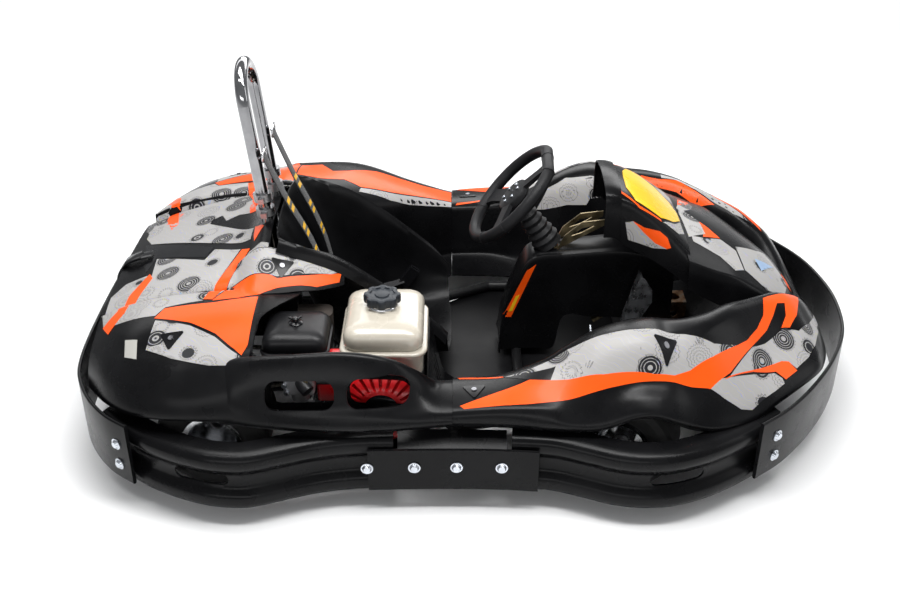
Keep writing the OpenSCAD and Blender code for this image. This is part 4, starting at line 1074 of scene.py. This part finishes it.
def build_films():
    """Films and badges on the pods, fenders, cover, nose, fairing and console."""
    for label, side in SIDES:
        pod = ["front_pod_" + label]
        fender = ["rear_cover_body", "seat_wing_" + label]
        fender += ["rear_fender_near"] if side == NEAR else ["rear_side_far"]
        for films, targets in ((POD_FILMS, pod), (FENDER_FILMS, fender)):
            for name, mat, layer, outline in films:
                lay_film(name + "_" + label, mat, targets, layer, outline, side)
        for part, badges, targets in (("pod", POD_BADGES, pod), ("fender", FENDER_BADGES, fender)):
            for k, (x, y, size) in enumerate(badges):
                lay_badge("%s_badge_%d_%s" % (part, k, label), targets, (x, y), size, side)
        for name, mat, outline in FAIRING_SIDE:
            side_film(name + "_" + label, mat, "fairing_body", outline, side)
    for films, targets in ((COVER_FILMS, ["rear_cover_body"]), (NOSE_FILMS, ["nose_body"]),
                           (FAIRING_FILMS, ["fairing_body"])):
        for name, mat, layer, outline in films:
            lay_film(name, mat, targets, layer, outline)
    lay_film("fairing_line", "orange", ["fairing_body"], 0, FAIRING_LINE)
    for name, mat, target, outline in FAR_FILMS:
        lay_film(name, mat, [target], 0, outline, FAR)
    side_film("far_inner_silver", "silver", "front_pod_far", FAR_INNER_SILVER)
    side_film("console_reflector", "orange", "console_body", [(88, 178), (112, 178), (178, 345), (152, 326)])
    side_film("console_reflector_tab", "yellow", "console_body",
              [(104, 196), (115, 198), (134, 250), (124, 246)], lift=2 * FILM_LIFT)


# ---- Belts, tank, cap and small parts ---------------------------------------------

BELT = [(-556, 88, 700), (-534, 86, 640), (-497, 80, 549), (-456, 74, 461), (-428, 72, 385), (-414, 74, 325),
        (-404, 84, 260), (-392, 104, 192), (-352, 142, 150), (-290, 166, 148), (-240, 175, 158),
        (-205, 178, 170)]
BELT_WIDTH = 44
BELT_THICK = 2.4


def ribbon_mesh(path, width, thick, lift=0.0):
    """Flat webbing with rounded edges along a path; its width stays level across the kart."""
    points = [Vector(p) for p in path]
    half, r = width / 2, thick / 2
    edge = [(half - r, -r), (half - r * 0.3, -r * 0.7), (half, 0), (half - r * 0.3, r * 0.7), (half - r, r)]
    section = edge + [(-u, -v) for u, v in edge]
    rings = []
    for i, p in enumerate(points):
        t = (points[min(i + 1, len(points) - 1)] - points[max(i - 1, 0)]).normalized()
        wide = (Vector((0, 1, 0)) - t * t.y).normalized()
        out = wide.cross(t) if wide.cross(t).x > 0 else t.cross(wide)
        rings.append([p + wide * u + out * (v + lift) for u, v in section])
    return prism_mesh(rings)


def build_belts():
    """Shoulder belts with plain yellow bars and their adjusters at the hoop."""
    for label, side in SIDES:
        path = spline([(x, side * y, z) for x, y, z in BELT], 8)
        new_object("belt_" + label, ribbon_mesh(path, BELT_WIDTH, BELT_THICK), "webbing",
                   ("seat_belts",))
        # Pairs of plain yellow bars woven along the belt
        for k, start in enumerate((15, 22, 29)):
            for part, (first, last) in enumerate(((start, start + 1), (start + 2, start + 3))):
                name = "belt_mark_%d_%d_%s" % (k, part, label)
                mesh = ribbon_mesh(path[first:last + 1], BELT_WIDTH * 0.72, 0.8, BELT_THICK / 2 + 0.3)
                new_object(name, mesh, "belt_mark")
        # Adjuster at the hoop end: a frame of round wire with the belt through it
        top = Vector((-552, side * 88, 692))
        loop = [top + Vector((0, u, v)) for u, v in
                ((-25, -9), (-25, 9), (-22, 12), (22, 12), (25, 9), (25, -9), (22, -12), (-22, -12))]
        new_object("belt_adjuster_" + label, tube_mesh(loop, 3.2, 12, True), "chrome")


TANK_X, TANK_Y = (-334, -125), (-506, -252)
# How far the tank's crown has drawn in at each height
TANK_CROWN = [(8, 340), (6, 344), (5, 350), (5, 366), (7, 376), (12, 384), (20, 390), (34, 395), (54, 398)]
# The cap: mean radius and height of its lobes, their number, and the radius of its plain top
CAP_WAIST, CAP_LOBE, CAP_LOBES, CAP_TOP = 44.5, 2.9, 8, 45


def build_tank():
    """The fuel tank: a skirt with a flange, a crowned top and a neck under the lobed cap."""
    skirt, flange = (262, 326), (327, 339)
    layers = rounded_box_layers(shrunk(TANK_X, 6), shrunk(TANK_Y, 6), skirt, 34, 10)
    layers += rounded_box_layers(shrunk(TANK_X, -5), shrunk(TANK_Y, -5), flange, 40, 5)
    layers += [(inset_outline(TANK_X, TANK_Y, inward, max(16, 40 - inward * 0.4)), z)
               for inward, z in TANK_CROWN]
    layers += [(inset_outline((CAP_CENTRE.x,) * 2, (CAP_CENTRE.y,) * 2, -r, r - 0.5), z)
               for r, z in ((52, 399), (48, 400))]
    new_object("tank_body", stacked_mesh(layers, 30), "tank", ("fuel_tank",))
    neck = [(30, 396), (38, 396), (39, 400), (38, 404), (36, 406), (36, 410), (30, 410)]
    place = (CAP_CENTRE.x, CAP_CENTRE.y, 0)
    new_object("tank_neck", lathe_mesh(neck, place, UPRIGHT), "chrome")
    # The cap: lobes round its edge, a sunken top and a raised centre
    verts, steps = [], 120
    profile = [(0.80, 410.4), (0.97, 410.4), (1.0, 414), (1.0, 428), (0.96, 432.5), (0.86, 434),
               (0.74, 433.5), (0.68, 430), (0.42, 429.5), (0.38, 432.5), (0.20, 433.8), (0.04, 434)]
    for a in (2 * math.pi * i / steps for i in range(steps)):
        lobe = CAP_WAIST + CAP_LOBE * math.tanh(2.2 * math.cos(CAP_LOBES * a))
        for part, z in profile:
            u, v = polar(part * (lobe if part > 0.7 else CAP_TOP), a)
            verts.append((CAP_CENTRE.x + u, CAP_CENTRE.y + v, z))
    faces = grid_faces(steps, len(profile), True, False)
    n = len(profile)
    faces.append(tuple(i * n for i in range(steps)))
    faces.append(tuple(i * n + n - 1 for i in reversed(range(steps))))
    new_object("cap_shell", mesh_from(verts, faces, 38), "cap", ("fuel_cap",), "tank_cap")


RECOIL_VENTS = 24


def build_recoil():
    """Red starter housing with radial vents and a dark centre."""
    place, turn = (CRANK.x, 0, CRANK.z + 28), TO_THE_SIDE
    profile = [(20, 492), (104, 492), (112, 498), (113, 512), (108, 528), (94, 540), (60, 545), (20, 546)]
    housing = new_object("recoil_housing", lathe_mesh(profile, place, turn, 96, 30), "red",
                         ("recoil_starter",))
    cutters = []
    for k in range(RECOIL_VENTS):
        a = 2 * math.pi * k / RECOIL_VENTS
        out, sideways = Vector((math.cos(a), 0, math.sin(a))), Vector((-math.sin(a), 0, math.cos(a)))
        corners = [(56, -3), (98, -5.5), (98, 5.5), (56, 3)]
        cutters.append(prism_mesh([[Vector(place) + out * u + sideways * v + Vector((0, -y, 0))
                                            for u, v in corners] for y in (520, 560)]))
    cut(housing, cutters)
    hub = [(0.5, 540), (44, 540), (46, 544), (40, 547.5), (18, 548), (0.5, 548)]
    new_object("recoil_centre", lathe_mesh(hub, place, turn, 64, 30), "black_gloss")


def build_air_cleaner():
    """Round-edged box with a crowned lid, a rim between them and a winged knob."""
    x, y = (-531, -364), (-513, -354)
    layers = rounded_box_layers(x, y, (286, 334), 26, 6)
    layers += rounded_box_layers(shrunk(x, -2), shrunk(y, -2), (334.5, 341), 28, 2)
    layers += [(inset_outline(x, y, inward, max(12, 28 - inward * 0.3)), z) for inward, z in
               ((3, 342), (2, 346), (3, 360), (6, 370), (12, 378), (22, 383), (40, 386))]
    new_object("air_cleaner_box", stacked_mesh(layers, 30), "cleaner",
               ("air_cleaner",))
    knob = [(0.5, 384), (17, 384), (18, 388), (14, 391), (9, 392), (8, 400), (5, 402), (0.5, 402)]
    new_object("air_cleaner_knob", lathe_mesh(knob, CLEANER_KNOB, UPRIGHT, 48, 30), "black_gloss")
    for k in range(3):
        a = math.radians(40 + 120 * k)
        path = [CLEANER_KNOB + Vector((*polar(r, a), z)) for r, z in ((4, 394), (11, 397), (18, 398))]
        new_object("air_cleaner_wing_%d" % k, tube_mesh(path, 3.2, 12), "black_gloss")


def build_engine_bits():
    """Red fan shroud, intake elbow, fuel line and two carburettor screws that show in the windows."""
    layers = rounded_box_layers((-402, -146), (-476, -452), (176, 322), 10, 4)
    new_object("fan_shroud", stacked_mesh(layers), "red")
    elbow = spline([(-440, -470, 286), (-438, -500, 276), (-430, -524, 262), (-414, -540, 250)], 6)
    new_object("intake_elbow", tube_mesh(elbow, 17), "cleaner")
    line = spline([(-352, -488, 262), (-380, -500, 280), (-420, -504, 304), (-470, -500, 284),
                   (-482, -490, 244)], 8)
    new_object("fuel_line", tube_mesh(line, 4), "black_gloss")
    for k, (x, z) in enumerate(((-474, 262), (-470, 240))):
        screw = [(0.5, 528), (7, 528), (7, 534), (5, 536), (0.5, 536)]
        new_object("carburettor_screw_%d" % k, lathe_mesh(screw, (x, 0, z), TO_THE_SIDE, 24), "zinc")


def build_pedal_plates():
    """Bright bent side plates of the two pedals."""
    outline = [(418, 178), (430, 252), (440, 300), (459, 350), (470, 348), (493, 314), (495, 276), (470, 226),
               (442, 176)]
    for body, y, lean in (("throttle", -134, -1), ("brake", 134, 1)):
        rings = [[(x, y + lean * (0.16 * (x - 440) + t), z) for x, z in outline] for t in (0, 3.5)]
        name = body + "_side_plate"
        new_object(name, prism_mesh(rings), "pedal", body=body)


def build_steering_wheel():
    """Padded rim with one flat stretch, three plate spokes, seams and a bolted hub plate."""
    column = Matrix.Rotation(math.radians(90) + COLUMN_TILT, 3, "Y")
    tilt = Matrix.Rotation(math.radians(90) + COLUMN_TILT - WHEEL_TIP, 3, "Y")
    turn = tilt @ Matrix.Rotation(-STEER_REST, 3, "Z")

    def place(points):
        return [WHEEL_CENTRE + turn @ Vector(q) for q in points]

    def rim_radius(angle):
        return min(RIM_RADIUS, RIM_FLAT_RADIUS / max(0.2, math.cos(math.radians(angle - RIM_FLAT_ANGLE))))

    rim = place([(*polar(rim_radius(a), math.radians(a)), 0) for a in range(0, 360, 4)])
    steering_piece("wheel_rim", tube_mesh(rim, RIM_TUBE, 24, True), replaces=("steering_wheel",))
    for k, (angle, w) in enumerate(((0, 50), (138, 34), (-113, 34))):
        c, d = polar(1, math.radians(angle))
        outline = [(34, -w * 0.5), (100, -w * 0.42), (128, -w * 0.5), (145, -w * 0.8), (145, w * 0.8),
                   (128, w * 0.5), (100, w * 0.42), (34, w * 0.5)]
        rings = [place([(u * c - v * d, u * d + v * c, z) for u, v in outline]) for z in (-3, 9)]
        steering_piece("wheel_spoke_%d" % k, prism_mesh(rings))
        for j, away in enumerate((-17, 17)):
            a = angle + away
            r = rim_radius(a if a <= 180 else a - 360)
            seam = [polar(RIM_TUBE + 0.5, 2 * math.pi * i / 32) for i in range(32)]
            ring = [(*polar(r + u, math.radians(a)), v) for u, v in seam]
            name = "rim_seam_%d_%d" % (k, j)
            steering_piece(name, tube_mesh(place(ring), 0.9, 8, True))
    hub = [(0.5, -5), (44, -5), (50, -2), (52, 2), (52, 14), (40, 22), (0.5, 22)]
    steering_piece("wheel_hub", lathe_mesh(hub, WHEEL_CENTRE, turn, 64, 30))
    boss = [(0.5, 14), (20, 14), (20, 34), (0.5, 34)]
    steering_piece("wheel_boss", lathe_mesh(boss, WHEEL_CENTRE, column, 48, 30), "steel")
    for k in range(6):
        a = math.radians(30 + 60 * k)
        bolt = [(0.5, -9), (2.2, -9), (2.4, -10), (4.6, -10), (5.2, -9), (5.2, -5), (0.5, -5)]
        centre = WHEEL_CENTRE + turn @ Vector((*polar(29, a), 0))
        steering_piece("wheel_bolt_%d" % k, lathe_mesh(bolt, centre, turn, 24, 30), "zinc")


def build_rear_clip():
    """Glossy rubber clip that ties the rear cover down to the strap, with its buckle."""
    path = spline([(-905, -20, 362), (-945, -20, 352), (-982, -20, 334), (-1004, -20, 306),
                   (-1014, -20, 268)], 6)
    body_piece("rear_clip_band", ribbon_mesh(path, 40, 5), "black_gloss")
    buckle = spline([(-938, -20, 361), (-962, -20, 352), (-984, -20, 339)], 4)
    body_piece("rear_clip_buckle", ribbon_mesh(buckle, 48, 7, 3), "black_gloss")


def build_fairing_rim():
    """Raised lip round the open end of the fairing."""
    ring = [(0, 609), (50, 606), (104, 596), (127, 569), (133, 470)]
    rows = [across(352, [(0, 602), (50, 599), (100, 590), (121, 564), (127, 470)]), across(350, ring),
            across(372, ring), across(392, [(0, 604), (50, 601), (103, 591), (126, 562), (133, 462)])]
    centre_panel("fairing_rim", rows, (), 4, 6)


NODE_FINISH = {
    "frame": ["frame_rail_R", "frame_rail_L", "frame_crossbars", "outer_tubes", "steering_yokes",
              "engine_mount", "axle_bearings"],
    "tray": ["floor_tray"],
    "black": ["bumper_plates"],
    "black_gloss": ["belt_buckles"],
    "zinc": ["bolts", "tie_rod_R", "tie_rod_L"],
    "hoop": ["hoop"],
    "pedal": ["throttle_pedal", "brake_pedal"],
    "steel": ["hoop_clamps", "knuckle_R", "knuckle_L", "steering_column", "rear_axle", "axle_sprocket",
              "clutch_sprocket"],
    "alloy": ["front_rim_R", "front_rim_L", "rear_rims", "rear_hubs"],
    "tyre": ["front_tyre_R", "front_tyre_L", "rear_tyres"],
    "iron": ["brake_disc"],
    "engine": ["engine_block", "brake_caliper"],
    "carb": ["carburettor"],
    "muffler": ["exhaust_muffler"],
    "yellow_zinc": ["column_bracket", "throttle_arm"],
    "chain": ["drive_chain"],
    "rusty": ["pedal_mounts"],
    "grip": ["recoil_handle"],
    "boot": ["steering_boot"],
}


def finish_cad_nodes():
    """Every CAD node that still shows gets its procedural material."""
    for key, nodes in NODE_FINISH.items():
        for name in nodes:
            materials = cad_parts[name].data.materials
            materials.clear()
            materials.append(MAT[key])


def main():
    add_camera()
    add_studio()
    build_side_bodies()
    build_centre_bodies()
    build_console()
    build_engine_cover()
    build_seat()
    build_bumpers()
    build_straps()
    build_films()
    build_belts()
    build_tank()
    build_recoil()
    build_air_cleaner()
    build_engine_bits()
    build_fairing_rim()
    build_pedal_plates()
    build_rear_clip()
    build_steering_wheel()
    finish_cad_nodes()


main()
